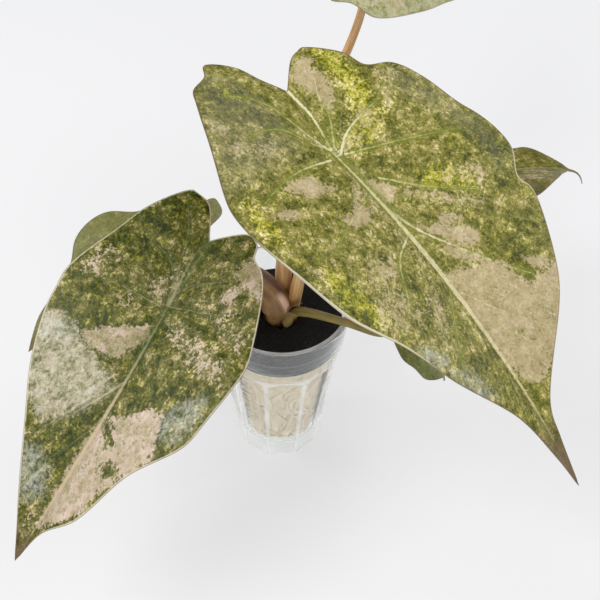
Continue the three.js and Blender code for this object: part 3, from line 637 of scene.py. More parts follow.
def vein_flow(leaf, u, v):
    """Coordinates across and along the side veins, about in millimetres."""
    per_radian, slant = 28, 1.15
    gap = np.abs(v)
    across = (u - VEIN_RULE.lean * gap) / (1 + VEIN_RULE.fan * gap / leaf.length)
    turned = -(np.arctan2(gap, u) - math.atan2(1, VEIN_RULE.lean)) * per_radian
    ahead = across > 0
    return np.where(ahead, across, turned), np.where(ahead, gap * slant, np.hypot(u, v))


def usual_veins(leaf):
    """Side veins of a leaf whose own can't be seen, from the rule that vein_flow follows."""
    rule, length = VEIN_RULE, leaf.length
    veins = [([(leaf.left[0][0], 0), (0, 0)], 0.7)]
    for sign in (1, -1):
        for share in rule.starts:
            start, gaps = share * length, np.linspace(0, rule.reach * length, 9)
            line = np.stack([start + gaps * (rule.lean + rule.fan * start / length), sign * gaps], 1)
            veins.append((line, rule.half))
        for turn in rule.rear_turns:
            reach = np.linspace(0, rule.rear_reach * length, 7)
            bend = np.radians(turn + reach / length * rule.rear_bend)
            veins.append((circle(reach, sign * bend, 0.0)[:, :2], rule.rear_half))
    return veins


def nearest_vein(points, veins, taper):
    """For each point the signed distance from the line of its nearest vein, its distance from the
    vein itself and the vein's half width there. Unlike a plain distance, the signed one stays
    exact between the points of the mesh."""
    found = np.tile((FAR, FAR, 0.0), (len(points), 1))
    for line, wide in veins:
        gap, share, beside = distance_to(points, line)
        half = wide * (1 - taper * share)
        near = gap - half < found[:, 1] - found[:, 2]
        found[near] = np.stack([beside, gap, half], 1)[near]
    return found


def blade_grid(leaf):
    """Rows of points from the notch to the tip, each from the midrib to the margin of either half.
    Gives u, v, the shares of the way out and along and the half's sign for each point, then the
    two margins, and for each half the numbers of its points."""
    length, notch = leaf.length, leaf.left[0][0]
    rows = max(60, round((length - notch) / BLADE.grid))
    columns = max(16, round(max(v for _, v in leaf.left + leaf.right) / BLADE.grid))
    along = np.linspace(0, 1, rows + 1)
    out = np.linspace(0, 1, columns + 1)[1:] ** 0.92
    inner = notch + (length - notch) * inner_place(leaf, along)
    seam = seam_shift(leaf, inner)
    places = [np.stack([inner, seam, 0 * inner, along, 0 * inner])]
    body = slice(1, rows)
    share, way = np.meshgrid(out, along[body])
    margins, grids = [], {}
    for sign, points in ((1, leaf.left), (-1, leaf.right)):
        edge, _ = curve_points([(a, sign * b) for a, b in points], along)
        grid = np.tile(np.arange(rows + 1)[:, None], columns + 1)
        grid[0], grid[rows] = 0, rows
        count = sum(known.shape[1] for known in places)
        grid[body, 1:] = count + np.arange(share.size).reshape(share.shape)
        u = inner[body, None] * (1 - share) + edge[body, :1] * share
        v = seam[body, None] * (1 - share) + edge[body, 1:] * share
        places.append(np.stack([u, v, share, way, 0 * u + sign]).reshape(5, -1))
        margins.append(edge)
        grids[sign] = grid
    return np.concatenate(places, 1), margins, grids


def blade_faces(grids, count):
    """Faces of the top, the underside and the margin, and the look of each: 1 is the underside."""
    faces, looks = [], []

    def add(corners, look):
        ring = list(dict.fromkeys(corners))
        if len(ring) > 2:
            faces.append(ring)
            looks.append(look)

    for sign, grid in grids.items():
        near, far = grid[:-1], grid[1:]
        quads = np.stack([near[:, :-1], near[:, 1:], far[:, 1:], far[:, :-1]], -1).reshape(-1, 4)
        for a, b, c, d in quads.tolist():
            ring = (b, c, d, a) if sign > 0 else (d, c, b, a)
            add(ring, 0)
            add([k + count for k in ring[::-1]], 1)
        for a, b in zip(near[:, -1].tolist(), far[:, -1].tolist()):
            add((a, b, b + count, a + count) if sign > 0 else (a, a + count, b + count, b), 0)
    return faces, looks


def vein_lines(leaf):
    """Smooth lines of the leaf's own veins, or else of the usual ones, with their half widths."""
    places = np.linspace(0, 1, 14)
    return [(curve_points(line, places)[0], wide) for line, wide in leaf.veins or usual_veins(leaf)]


def blade_fields(leaf, u, v, halves, margins):
    """What the materials read: how far inside each kind of mark a point lies, its coordinates, and
    its distances from the midrib, the margin and the nearest veins."""
    flat, beside = np.stack([u, v], 1), v - seam_shift(leaf, u)
    fields = {}
    for kind in (*MARK_EDGES, "green"):
        inside = [inside_by(flat, outline) for outline in leaf.marks.get(kind, ())]
        inside.append(np.full(len(u), -MARK_FAR))
        fields[kind] = np.minimum(np.max(inside, 0), MARK_FAR)
    fields["beige"] = np.minimum(fields["beige"], -fields.pop("green"))
    across, along = vein_flow(leaf, u, v)
    fields["leaf"] = np.stack([u * CM, v * CM, 0 * u + leaf.seed], 1)
    fields["flow"] = np.stack([across * CM, along * CM, leaf.seed + 3 * np.sign(v)], 1)
    fields["midrib"] = np.stack([beside, np.interp(u / leaf.length, *zip(*leaf.midrib)), u], 1)
    edge_gap = np.minimum(*(distance_to(flat, margin)[0] for margin in margins))
    left, right = (np.interp(u, *zip(*table)) for table in leaf.rim)
    fields["rim"] = np.stack([edge_gap, np.where(beside > 0, left, right), halves], 1)
    fields["vein"] = nearest_vein(flat, vein_lines(leaf), 0.65)
    fields["minor"] = nearest_vein(flat, usual_veins(leaf), 0.3)
    return fields


def relief(leaf, u, v, outs, alongs, halves, fields):
    """Height of the upper face over the smooth surface: the side veins are sunk, the blade swells
    between them and waves at the margin. A groove gets shallow along its vein, and a fine vein has
    only the shallow end of one."""
    beside, rib_half, _ = fields["midrib"].T
    groove = np.full(len(u), FAR)
    for line, wide in vein_lines(leaf):
        gap, share, _ = distance_to(np.stack([u, v], 1), line)
        groove = np.minimum(groove, gap + 2.5 * share + 3 * (wide < 0.4))
    size = min(1.0, leaf.length / RELIEF.full_size)
    swell = RELIEF.swell * size * (1 - bell(groove, RELIEF.swell_width))
    swell -= RELIEF.groove * bell(groove, RELIEF.groove_width)
    swell += 0.12 * np.sin(u * 0.31 + leaf.seed) * np.sin(v * 0.43 + 1.7 * leaf.seed)
    swell += 0.08 * np.sin(u * 0.83 + v * 0.37) * np.sin(v * 0.71 - u * 0.29)
    swell *= smooth_step(fields["rim"][:, 0], 0, 6) * smooth_step(np.abs(beside), 0, 5)
    valley = bell(np.maximum(np.abs(beside) - rib_half, 0), RELIEF.valley_width)
    height, waves, phase = leaf.waves
    fade = np.sin(math.pi * np.minimum(1, BLADE.wave_end * alongs))
    wave = height * outs**2 * fade * np.sin(2 * math.pi * waves * alongs + phase * halves)
    return wave + swell - RELIEF.valley * valley * size


def thickness(leaf, u, fields):
    """Thinner at the margin, with a round rib below the midrib and a ridge below the side veins."""
    edge_gap, _, _ = fields["rim"].T
    _, vein_gap, vein_half = fields["vein"].T
    tipward = np.clip(1 - np.maximum(u, 0) / leaf.length, 0, 1)
    rearward = np.where(u < 0, 1 - BLADE.seam_fade * np.minimum(1, u / leaf.left[0][0]), 1.0)
    half = RELIEF.rib_tip_half + RELIEF.rib_half * tipward * rearward
    round_rib = np.sqrt(np.clip(1 - (fields["midrib"][:, 0] / half) ** 2, 0, 1))
    thin = RELIEF.margin_thickness
    depth = BLADE.thickness * (thin + (1 - thin) * smooth_step(edge_gap, 0, 4))
    depth += BLADE.rib_height * tipward ** BLADE.rib_fade * rearward * round_rib
    ridge = RELIEF.vein_ridge * bell(np.maximum(vein_gap - vein_half, 0), RELIEF.ridge_width)
    return depth + ridge * smooth_step(edge_gap, 1, 8)


def blade(leaf, looks):
    """Blade with a fine grid on both faces and fields for the materials at its points."""
    (u, v, outs, alongs, halves), margins, grids = blade_grid(leaf)
    fields = blade_fields(leaf, u, v, halves, margins)
    normal = surface_normal(leaf, u, v)
    top = surface(leaf, u, v) + normal * relief(leaf, u, v, outs, alongs, halves, fields)[:, None]
    under = top - normal * thickness(leaf, u, fields)[:, None]
    faces, face_looks = blade_faces(grids, len(u))
    made = piece("leaf_" + leaf.name, [top, under], faces, looks, face_looks)
    for name, values in fields.items():
        add_field(made, name, np.concatenate([values, values]))
    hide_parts("blade_" + leaf.name)


# Stalks


def stalk_course(leaf):
    attach = np.array(leaf.attach)
    normal = surface_normal(leaf, np.zeros(1), np.zeros(1))[0]
    depth = BLADE.thickness + BLADE.rib_height
    foot, *rest = leaf.course
    return [(*foot, ROOTSTOCK.top + GAP), (*foot, COLLAR.top - STALK.straight_below),
            *rest, attach - normal * (depth + GAP + STALK.neck), attach - normal * depth * 0.7]


def stalk(leaf, look):
    course = stalk_course(leaf)
    steps, sides = 110, 40
    path, parameter = curve_points(course, np.linspace(0, 1, steps + 1))
    radii = np.array([leaf.radii[0], *leaf.radii], float)
    place = np.clip(parameter * (len(course) - 1), 0, len(course) - 1 - 1e-6)
    index = place.astype(int)
    share = smooth_step(place - index, 0, 1)
    radius = radii[index] * (1 - share) + radii[index + 1] * share
    angles = turns(sides)
    rings = sweep(path, radius, sides, 1 + 0.012 * np.cos(9 * angles) + 0.008 * np.cos(14 * angles + 1))
    made = piece("stem_" + leaf.name, rings, ring_faces(steps + 1, sides), [look])
    far = run_of(path)[:, None] * CM * 0.06 + leaf.seed
    add_field(made, "stem", circle(radius[:, None] * CM, angles, far).reshape(-1, 3))
    add_field(made, "height", (rings[..., 2].ravel() - COLLAR.top) * CM)
    out = unit(rings - path[:, None])
    for name, (way, low, high) in SHEATH.items():
        add_field(made, name, smooth_step(out @ np.array(way), low, high).ravel())
    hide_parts("stalk_" + leaf.name)


def papery_scale(leaf, look):
    """A thin torn skin round the foot of the oldest stalk."""
    rows, columns = 26, 60
    size = rows * columns
    row, column = np.divmod(np.arange(size), columns)
    across = column / (columns - 1)
    tooth = 1 - SCALE.tooth_depth * np.abs(np.sin(math.pi * SCALE.teeth * across))
    tooth -= 0.06 * np.sin(across * 61) ** 2
    along = row / (rows - 1) * tooth
    share = SCALE.start + (SCALE.end - SCALE.start) * along
    centre, _ = curve_points(stalk_course(leaf), share)
    ahead, _ = curve_points(stalk_course(leaf), share + 0.004)
    way = unit(ahead - centre)
    up = unit(np.array((0, 0, 1.0)) - way * way[:, 2:])
    side = np.cross(way, up)
    turn = np.radians(-SCALE.turn + 2 * SCALE.turn * across)[:, None]
    crease = 0.18 * np.sin(across * 23 + 2 * along) * along
    skins = []
    for thick in (SCALE.thickness, 0.0):
        radius = max(leaf.radii) + SCALE.clearance + thick
        reach = (radius + SCALE.flare * along**2 + crease)[:, None]
        skins.append(centre + up * reach * np.cos(turn) + side * reach * np.sin(turn))
    faces = []
    for a in np.arange(size).reshape(rows, columns)[:-1, :-1].ravel().tolist():
        ring = (a, a + 1, a + 1 + columns, a + columns)
        faces += [ring, tuple(k + size for k in ring[::-1])]
    loop = [*range(columns), *range(2 * columns - 1, size, columns),
            *range(size - 2, size - columns - 1, -1), *range(size - 2 * columns, 0, -columns)]
    for a, b in zip(loop, loop[1:] + loop[:1]):
        faces.append((b, a, a + size, b + size))
    made = piece("torn_scale", skins, faces, [look])
    stem = np.stack([column * 0.06, column * 0.06, row * 0.04], 1)
    add_field(made, "stem", np.tile(stem, (2, 1)))
    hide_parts("papery_scale")


# The tumbler and what fills it


def bore_radius(height):
    t = TUMBLER
    heights = [t.floor, t.shoulder_height, t.height]
    return np.interp(height, heights, [t.bore_floor, t.bore_shoulder, t.bore_rim])


def tumbler(look):
    """Rings of points from the middle of the underside out, up, over the lip and down the bore."""
    t = TUMBLER
    steps = 24
    sides = steps * t.facets
    angles = np.radians(t.facet_turn - 90) + turns(sides)
    from_facet = (np.arange(sides) % steps - steps / 2) / steps * (2 * math.pi / t.facets)
    lip, foot_radius, rim_radius, shoulder = t.lip, t.foot_radius, t.rim_radius, t.shoulder_height
    scallops = shoulder + t.scallop_height
    facet_heights = [0, shoulder, scallops, t.height]
    apothems = [t.facet_foot, t.facet_shoulder, t.facet_shoulder + t.scallop_flare,
                1.06 * rim_radius]
    rings = []

    def outside(height):
        """The cone and the facets, of which the nearer one is the wall."""
        share = (height - lip) / (t.height - 2 * lip)
        cone = foot_radius + (rim_radius - foot_radius) * share
        return cone, np.interp(height, facet_heights, apothems) / np.cos(from_facet)

    def wall(height, soft=0.12):
        cone, facet = outside(height)
        return np.minimum(cone, facet) - soft * np.exp(-np.abs(cone - facet) / soft) * 0.7

    def ring(radius, height):
        rings.append(circle(radius * np.ones(sides), angles, height))

    foot = wall(lip) - lip
    for share in (0.02, 0.5, 0.8, 1):
        ring(foot * share, 0.0)
    for way in np.radians((25, 50, 75)):
        ring(foot + lip * math.sin(way), lip * (1 - math.cos(way)))
    for start, end, count in ((lip, shoulder - 4, 24), (shoulder - 3, scallops + 1, 26),
                              (scallops + 3, t.height - lip, 10)):
        for height in np.linspace(start, end, count):
            ring(wall(height), height)
    for way in np.radians(range(20, 180, 20)):
        middle, half = (rim_radius + t.bore_rim) / 2, (rim_radius - t.bore_rim) / 2
        ring(middle + half * math.cos(way), t.height - lip + lip * math.sin(way))
    bend = t.floor_corner
    corner = t.floor + bend
    for height in np.linspace(t.height - lip, corner, 40):
        ring(bore_radius(height), height)
    inner = bore_radius(corner) - bend
    for way in np.radians(range(15, 91, 15)):
        ring(inner + bend * math.cos(way), corner - bend * math.sin(way))
    for share in (0.75, 0.4, 0.02):
        ring(inner * share, t.floor)
    made = piece("glass_tumbler", rings, ring_faces(len(rings), sides), [look])

    # The strips between the facets and the lip, on which white highlights are painted
    x, y, height = np.moveaxis(rings, -1, 0)
    cone, facet = outside(height)
    outer = np.hypot(x, y) > np.minimum(cone, facet) - 0.6
    edge = 0.8 * smooth_step(facet - cone, -0.4, 0.35) * (height < scallops) * outer
    add_field(made, "edge", np.where(height > t.height - 0.9, 0.6, edge).ravel())
    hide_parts("tumbler")


def foam_collar(look):
    """Ring of foam whose hole is set back with the rootstock, its top a little uneven."""
    top, edge, sides = COLLAR.top, COLLAR.edge, 180
    around = circle(1.0, turns(sides), 0.0)
    bottom = top - COLLAR.thickness + GAP
    hole = around * COLLAR.hole + (0, ROOTSTOCK.behind, 0)
    rings = []

    def ring(share, height, shrink=0.0):
        outer = around * (bore_radius(height) - COLLAR.clearance - shrink)
        rings.append(hole * (1 - share) + outer * share + (0, 0, height))

    for share in (0, 0.5, 1):
        ring(share, bottom)
    for height in np.linspace(bottom + 1, top - edge, 6):
        ring(1, height)
    for way in np.radians((30, 60, 90)):
        ring(1, top - edge * (1 - math.sin(way)), edge * (1 - math.cos(way)))
    for share in np.linspace(0.95, 0.03, 24):
        ring(share, top, edge)
    ring(0, top - 0.4)
    for height in np.linspace(top - 2, bottom + 1, 5):
        ring(0, height)
    points = np.array(rings)
    rough = 0.11 * np.sin(points[..., 0] * 1.9) * np.sin(points[..., 1] * 2.3)
    points[..., 2] -= np.where(points[..., 2] > top - 0.01, 0.12 + rough, 0)
    faces = ring_faces(len(rings), sides, closed=False)
    last = (len(rings) - 1) * sides
    faces += [(last + k, last + (k + 1) % sides, (k + 1) % sides, k) for k in range(sides)]
    made = piece("collar_foam", points, faces, [look])
    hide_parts("foam_collar")


def moss_ball(look):
    low, high = ROOT_BALL
    layers = 110
    height = low + (high - low) * np.arange(layers + 1)[:, None] / layers
    angles = turns(160)
    radius = bore_radius(np.maximum(height, BORE_CORNER)) - 1.5
    radius -= 7.5 * bell(height - low, 3.4) + 2.0 * bell(high - height, 2)
    lumps = (0.5 * np.sin(5 * angles + height * 0.21) * np.sin(3 * angles - height * 0.13)
             + 0.35 * np.sin(17 * angles + 2 * np.sin(height * 0.3))
             + 0.25 * np.sin(31 * angles - height * 0.9) * np.sin(height * 0.7))
    near_end = np.minimum(height - low, high - height)
    rings = circle(radius - 0.7 + 0.7 * lumps * np.minimum(1, near_end / 3), angles, height)
    made = piece("moss_ball", rings, ring_faces(*rings.shape[:2]), [look])
    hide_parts("root_ball")


def wound_roots(look):
    """Roots that wind over the moss, against the glass. Past the thin ones come some thick ones."""
    low, high = ROOT_BALL
    chance = np.random.default_rng(7)
    roots, thin_roots, steps, around = 120, 80, 46, 7
    share = np.linspace(0, 1, steps)
    swept, faces, fibre = [], [], []
    for root in range(roots):
        thick = chance.uniform(0.28, 0.85) if root < thin_roots else chance.uniform(0.9, 1.3)
        start = chance.uniform(0, 2 * math.pi)
        top, length = chance.uniform(low + 30, high - 1), chance.uniform(35, 110)
        lean, curl = chance.uniform(-0.7, 0.7), chance.uniform(0.05, 0.3)
        turn = start + lean * share + curl * np.sin(share * chance.uniform(3, 11) + chance.uniform(0, 6))
        height = np.maximum(top - length * share, low + 3 + thick + chance.uniform(0, 6))
        height = np.minimum(height + 0.8 * np.sin(share * 17 + root), high - thick - 0.3)
        reach = bore_radius(np.maximum(height, BORE_CORNER)) - 0.5 - thick
        reach -= 5.5 * bell(height - low, 4) + 0.5 * (1 + np.sin(share * 9 + root)) * thick
        path = circle(reach, turn, height)
        faces += ring_faces(steps, around, root * steps * around)
        swept.append(sweep(path, thick * (0.35 + 0.65 * np.sin(math.pi * (0.12 + 0.8 * share))), around))
        fibre.append(np.column_stack([np.repeat(run_of(path) * CM, around),
                                      np.full(steps * around, root * 1.7),
                                      np.tile(np.arange(around) * 0.3, steps)]))
    made = piece("wound_roots", swept, faces, [look])
    add_field(made, "stem", np.concatenate(fibre))


# Materials


class Nodes:
    """Short calls to make and wire a material's nodes."""

    def __init__(self, name):
        self.material = bpy.data.materials.new(name)
        self.material.use_nodes = True
        self.tree = self.material.node_tree
        self.tree.nodes.clear()

    def add(self, kind, sockets, **settings):
        node = self.tree.nodes.new("ShaderNode" + kind)
        for key, value in settings.items():
            setattr(node, key, value)
        for key, value in sockets.items():
            if isinstance(value, bpy.types.NodeSocket):
                self.tree.links.new(value, node.inputs[key])
            else:
                node.inputs[key].default_value = value
        return node

    def place(self):
        return self.add("TexCoord", {}).outputs["Object"]

    def field(self, name, output="Fac"):
        return self.add("Attribute", {}, attribute_name=name).outputs[output]

    def parts(self, name):
        """The three numbers of a vector field."""
        return self.add("SeparateXYZ", {0: self.field(name, "Vector")}).outputs

    def from_vein(self, name):
        """Distance from the border of the nearest vein, negative on the vein itself."""
        beside, gap, half = self.parts(name)
        sharp = self.math("MAXIMUM", self.math("ABSOLUTE", beside), self.math("SUBTRACT", gap, 0.8))
        return self.math("SUBTRACT", sharp, half)

    def math(self, operation, a, b=0.0):
        return self.add("Math", {0: a, 1: b, 2: 0.0}, operation=operation).outputs[0]

    def times(self, a, b):
        return self.math("MULTIPLY", a, b)

    def total(self, *terms):
        """Sum of numbers, sockets and (socket, factor) pairs."""
        result = 0.0
        for term in terms:
            if isinstance(term, tuple):
                sockets = {0: term[0], 1: term[1], 2: result}
                result = self.add("Math", sockets, operation="MULTIPLY_ADD").outputs[0]
            else:
                result = self.math("ADD", term, result)
        return result

    def step(self, value, low, high):
        return self.add("MapRange", {0: value, 1: low, 2: high}, interpolation_type="SMOOTHSTEP",
                        clamp=True).outputs[0]

    def mix(self, factor, *ends):
        a, b = (srgb(*end) if isinstance(end, tuple) else end for end in ends)
        return self.add("Mix", {0: factor, 6: a, 7: b}, data_type="RGBA").outputs[2]

    def over(self, colour, tint, shown, strength):
        """A colour with a tint laid over it."""
        return self.mix(self.times(shown, strength), colour, tint)

    def ramp(self, factor, *stops):
        node = self.add("ValToRGB", {0: factor})
        elements = node.color_ramp.elements
        while len(elements) < len(stops):
            elements.new(0.5)
        for element, (place, *colour) in zip(elements, stops):
            element.position = place
            element.color = srgb(*colour)
        return node.outputs[0]

    def noise(self, vector, scale, detail=3.0, rough=0.55, output="Fac"):
        return self.add("TexNoise", {"Vector": vector, "Scale": scale, "Detail": detail,
                                     "Roughness": rough}).outputs[output]

    def cells(self, vector, scale, output="Color"):
        return self.add("TexVoronoi", {"Vector": vector, "Scale": scale}).outputs[output]

    def speck(self, vector, scale):
        """A number from 0 to 1 for each cell of a mosaic, the same all over the cell."""
        return self.add("SeparateColor", {"Color": self.cells(vector, scale)}).outputs["Red"]

    def vector(self, operation, *terms):
        return self.add("VectorMath", dict(enumerate(terms)), operation=operation).outputs[0]

    def stretch(self, vector, *factors):
        return self.vector("MULTIPLY", vector, factors)

    def shaken(self, vector, scale, amount):
        """A vector moved about by noise."""
        noise = self.vector("SUBTRACT", self.noise(vector, scale, 2.0, output="Color"), (0.5, 0.5, 0.5))
        return self.vector("MULTIPLY_ADD", noise, (amount, amount, amount), vector)

    def bump(self, height, distance, strength):
        sockets = {"Height": height, "Distance": distance, "Strength": strength}
        return self.add("Bump", sockets).outputs[0]

    def surface(self, shader):
        self.add("OutputMaterial", {"Surface": shader.outputs[0]})
        return self.material

    def shade(self, **sockets):
        names = {key.replace("_", " "): value for key, value in sockets.items()}
        return self.surface(self.add("BsdfPrincipled", names))


class LeafNodes(Nodes):
    """The textures that all layers of a leaf's look share, and the masks of its marks."""

    def __init__(self, name):
        super().__init__(name)
        self.spot, self.flow = self.field("leaf", "Vector"), self.field("flow", "Vector")
        even = self.shaken(self.spot, 5.0, 0.2)
        self.drawn = self.shaken(self.stretch(self.flow, 1.0, 0.6, 1.0), 3.0, 0.35)
        self.grain, self.fleck = self.speck(even, 16.0), self.speck(even, 8.5)
        self.blot = self.speck(self.drawn, 3.4)
        self.frost = self.noise(self.spot, 9.0, 4.0, 0.8)
        self.cloud = self.noise(self.spot, 1.1)
        long = self.noise(self.stretch(self.flow, 1.0, 0.45, 1.0), 2.0, 4.0, 0.65)
        self.streaks = self.total((long, 0.5), (self.noise(self.spot, 2.2, 4.0, 0.65), 0.6), -0.05)
        ragged = self.total((self.noise(self.spot, 3.0, 5.0, 0.7), 10.0), (self.fleck, 2.0),
                            (self.grain, 1.0), -6.5)
        self.inside = {kind: self.step(self.total(self.field(kind), (ragged, wild)), -soft, soft)
                       for kind, (wild, soft) in MARK_EDGES.items()}

LIMES = [
    (0.0, 84, 86, 8), (0.25, 114, 116, 14), (0.45, 146, 146, 26), (0.62, 184, 174, 72),
    (0.8, 220, 208, 146), (1.0, 234, 224, 182),
]
VEIL_AND_SHEEN = [
    (0.0, 106, 108, 64), (0.2, 138, 134, 98), (0.42, 166, 159, 130), (0.65, 186, 178, 156),
    (1.0, 210, 204, 194),
]


def marbling(n, leaf):
    """A mosaic of small cells from dark green to cream, with the lime areas."""
    tone = n.total((n.grain, 0.22), (n.fleck, 0.3), (n.blot, 0.14), (n.frost, 0.95), (n.cloud, 0.7),
                   (n.streaks, 1.5), (n.noise(n.spot, 0.4, 2.0), 0.5), (n.inside["haze"], 0.1),
                   (n.inside["dark"], -0.12), leaf.tone - 1.7)
    lime = n.step(n.total((n.fleck, 0.5), (n.streaks, 2.0), (n.inside["lime"], 1.0)), 1.78, 2.3)
    stray = n.step(n.total((n.fleck, 0.6), (n.noise(n.spot, 2.0, 2.0), 2.0), (n.cloud, 1.0)), 2.0, 2.25)
    shown = n.math("MAXIMUM", lime, n.times(stray, leaf.stray))
    return n.mix(shown, n.ramp(tone, *leaf.greens), n.ramp(tone, *LIMES))


def beige_areas(n, leaf, colour):
    """Whole beige areas, and specks that crowd together in the hazy ones; then a painted grey reflection,
    a pale film that is partly the leaf's own mottling and partly painted shine, and painted highlights
    where a leaf would catch the light. Also gives how beige each point is."""
    inside = n.inside
    pale = n.ramp(n.total((n.grain, 0.24), (n.fleck, 0.24), (n.frost, 0.9), (n.cloud, 0.9),
                          (n.streaks, 0.7), (inside["dark"], -0.3), -1.0), *leaf.flesh)
    pink = n.step(n.noise(n.spot, 1.7), 0.5, 0.66)
    pale = n.over(pale, (206, 180, 164), pink, leaf.pink)
    bits = n.total((n.fleck, 0.3), (n.noise(n.stretch(n.drawn, 1.0, 0.5, 1.0), 3.6, 4.0, 0.7), 1.0))
    pale = n.over(pale, (226, 208, 196), n.step(bits, 0.82, 0.94), 0.5)
    pale = n.over(pale, (164, 154, 84), n.step(bits, 0.52, 0.42), 0.45)
    specks = n.total((n.fleck, 0.4), (n.blot, 0.3), (n.noise(n.spot, 4.0, 4.0, 0.7), 1.8),
                     (inside["haze"], 0.5), (inside["dark"], -0.4), -1.68)
    holes = n.total((n.grain, 0.35), (n.fleck, 0.3), (n.noise(n.spot, 2.8, 4.0, 0.7), 1.0))
    whole = n.total((inside["beige"], n.total((n.step(holes, 0.66, 0.52), -0.4), 0.96)))
    beige = n.math("MAXIMUM", whole, n.times(n.step(specks, 0.0, 0.22), 0.85))
    colour = n.mix(beige, colour, pale)
    # A painted grey reflection of the sky, where the leaf's marks call for it
    colour = n.over(colour, (140, 136, 130), inside["cool"], 0.17)
    curls = n.noise(n.stretch(n.shaken(n.spot, 1.2, 1.5), 0.35, 1.0, 1.0), 5.0, 4.0, 0.7)
    # A pale film, partly the leaf's own mottling and partly painted shine
    film = n.ramp(n.total((curls, 1.7), (n.frost, 0.8), (n.fleck, 0.25), (n.streaks, 2.0), -1.95), *VEIL_AND_SHEEN)
    film = n.over(film, (200, 176, 160), pink, 0.35)
    thin = n.total((n.step(n.streaks, 0.36, 0.54), 0.35), (n.grain, 0.1), 0.55)
    colour = n.over(colour, film, inside["veil"], thin)
    # Painted highlights where the lamps would mirror in the leaf
    painted_gleam = n.times(inside["sheen"], n.step(curls, 0.3, 0.72))
    return n.over(colour, (196, 197, 184), painted_gleam, 0.7), beige


def veins_and_rim(n, leaf, colour, beige):
    """Side veins with a green border, the midrib, the rim and the tip. Also gives where the small
    and the large veins are."""
    length = leaf.length
    vein_line, vein_side, strength, rib_near, rib_far = leaf.vein_tones
    broken = n.step(n.noise(n.spot, 3.0), 0.36, 0.6)
    minor = n.times(n.step(n.from_vein("minor"), 0.4, -0.2), broken)
    colour = n.over(colour, vein_line, minor, 0.3 * strength)
    vein_gap = n.total(n.from_vein("vein"), (n.grain, 0.4), (broken, -0.3), 0.1)
    bare = n.math("SUBTRACT", 1.0, n.times(beige, 0.85))
    border = n.times(n.step(n.total(vein_gap, (n.frost, 3.0), -1.5), 2.2, 0.2), bare)
    colour = n.over(colour, vein_side, border, 0.6 * strength)
    line = n.step(vein_gap, 0.2, -0.2)
    thick = n.step(n.parts("vein")[2], 0.4, 0.75)
    shown = n.total((broken, 0.3 * strength), (thick, 0.4 * strength), 0.45 * strength)
    colour = n.over(colour, n.mix(n.math("MAXIMUM", thick, beige), vein_line, rib_far), line, shown)

    beside, half, ahead = n.parts("midrib")
    rib_gap = n.total(n.math("ABSOLUTE", beside), (half, -1.0), (n.grain, 0.5), -0.25)
    fresh = n.times(n.step(ahead, -2.0, 2.0), n.step(ahead, 95.0, 40.0))
    banded = n.times(n.step(n.total(rib_gap, (n.frost, 6.0), -3.0), 4.0, 0.5), fresh)
    colour = n.over(colour, vein_side, banded, 0.7 * strength)
    if leaf.seam:
        seam = n.step(n.total(rib_gap, (n.frost, 8.0), -4.0), 5.0, 0.5)
        colour = n.over(colour, leaf.seam, n.times(seam, n.step(ahead, 6.0, -6.0)), 0.3)
    rib_colour = n.mix(n.step(ahead, 0.1 * length, 0.45 * length), rib_near, rib_far)
    fading = n.total((n.step(ahead, length, 0.62 * length), 0.6), 0.4)
    rib = n.times(n.step(rib_gap, 0.25, -0.35), fading)
    colour = n.over(colour, rib_colour, rib, n.total((broken, 0.25), 0.65))

    edge_gap, rim_width, _ = n.parts("rim")
    rim_gap = n.total(edge_gap, (rim_width, -1.0), (n.grain, 0.3), -0.15)
    colour = n.over(colour, (222, 212, 186), n.step(rim_gap, 0.25, -0.25), 0.85)
    outer = n.step(n.total(edge_gap, (rim_width, 0.6)), 0.95, 0.3)
    colour = n.over(colour, (104, 82, 56), outer, 0.75)
    tip = n.step(n.total((ahead, 1 / length), (n.cloud, 0.12)), leaf.tip, leaf.tip + 0.11)
    return n.over(colour, (108, 88, 70), tip, 0.8), minor, line


def leaf_top(leaf):
    """Marbled upper face, whose areas have ragged outlines after the leaf's own list."""
    n = LeafNodes("leaf_" + leaf.name)
    colour, beige = beige_areas(n, leaf, marbling(n, leaf))
    colour, minor, line = veins_and_rim(n, leaf, colour, beige)
    creases = n.noise(n.stretch(n.flow, 1.0, 0.22, 1.0), 8.0)
    relief = n.total((n.noise(n.spot, 5.0, 4.0), 0.5), (minor, -0.25), (line, -0.4), (n.frost, 0.5),
                     (creases, leaf.creases))
    shine = n.total((n.cloud, 0.16), (n.grain, 0.06), leaf.rough)
    return n.shade(Base_Color=colour, Roughness=shine, Normal=n.bump(relief, 0.0006, 0.6),
                   Specular_IOR_Level=leaf.gloss)


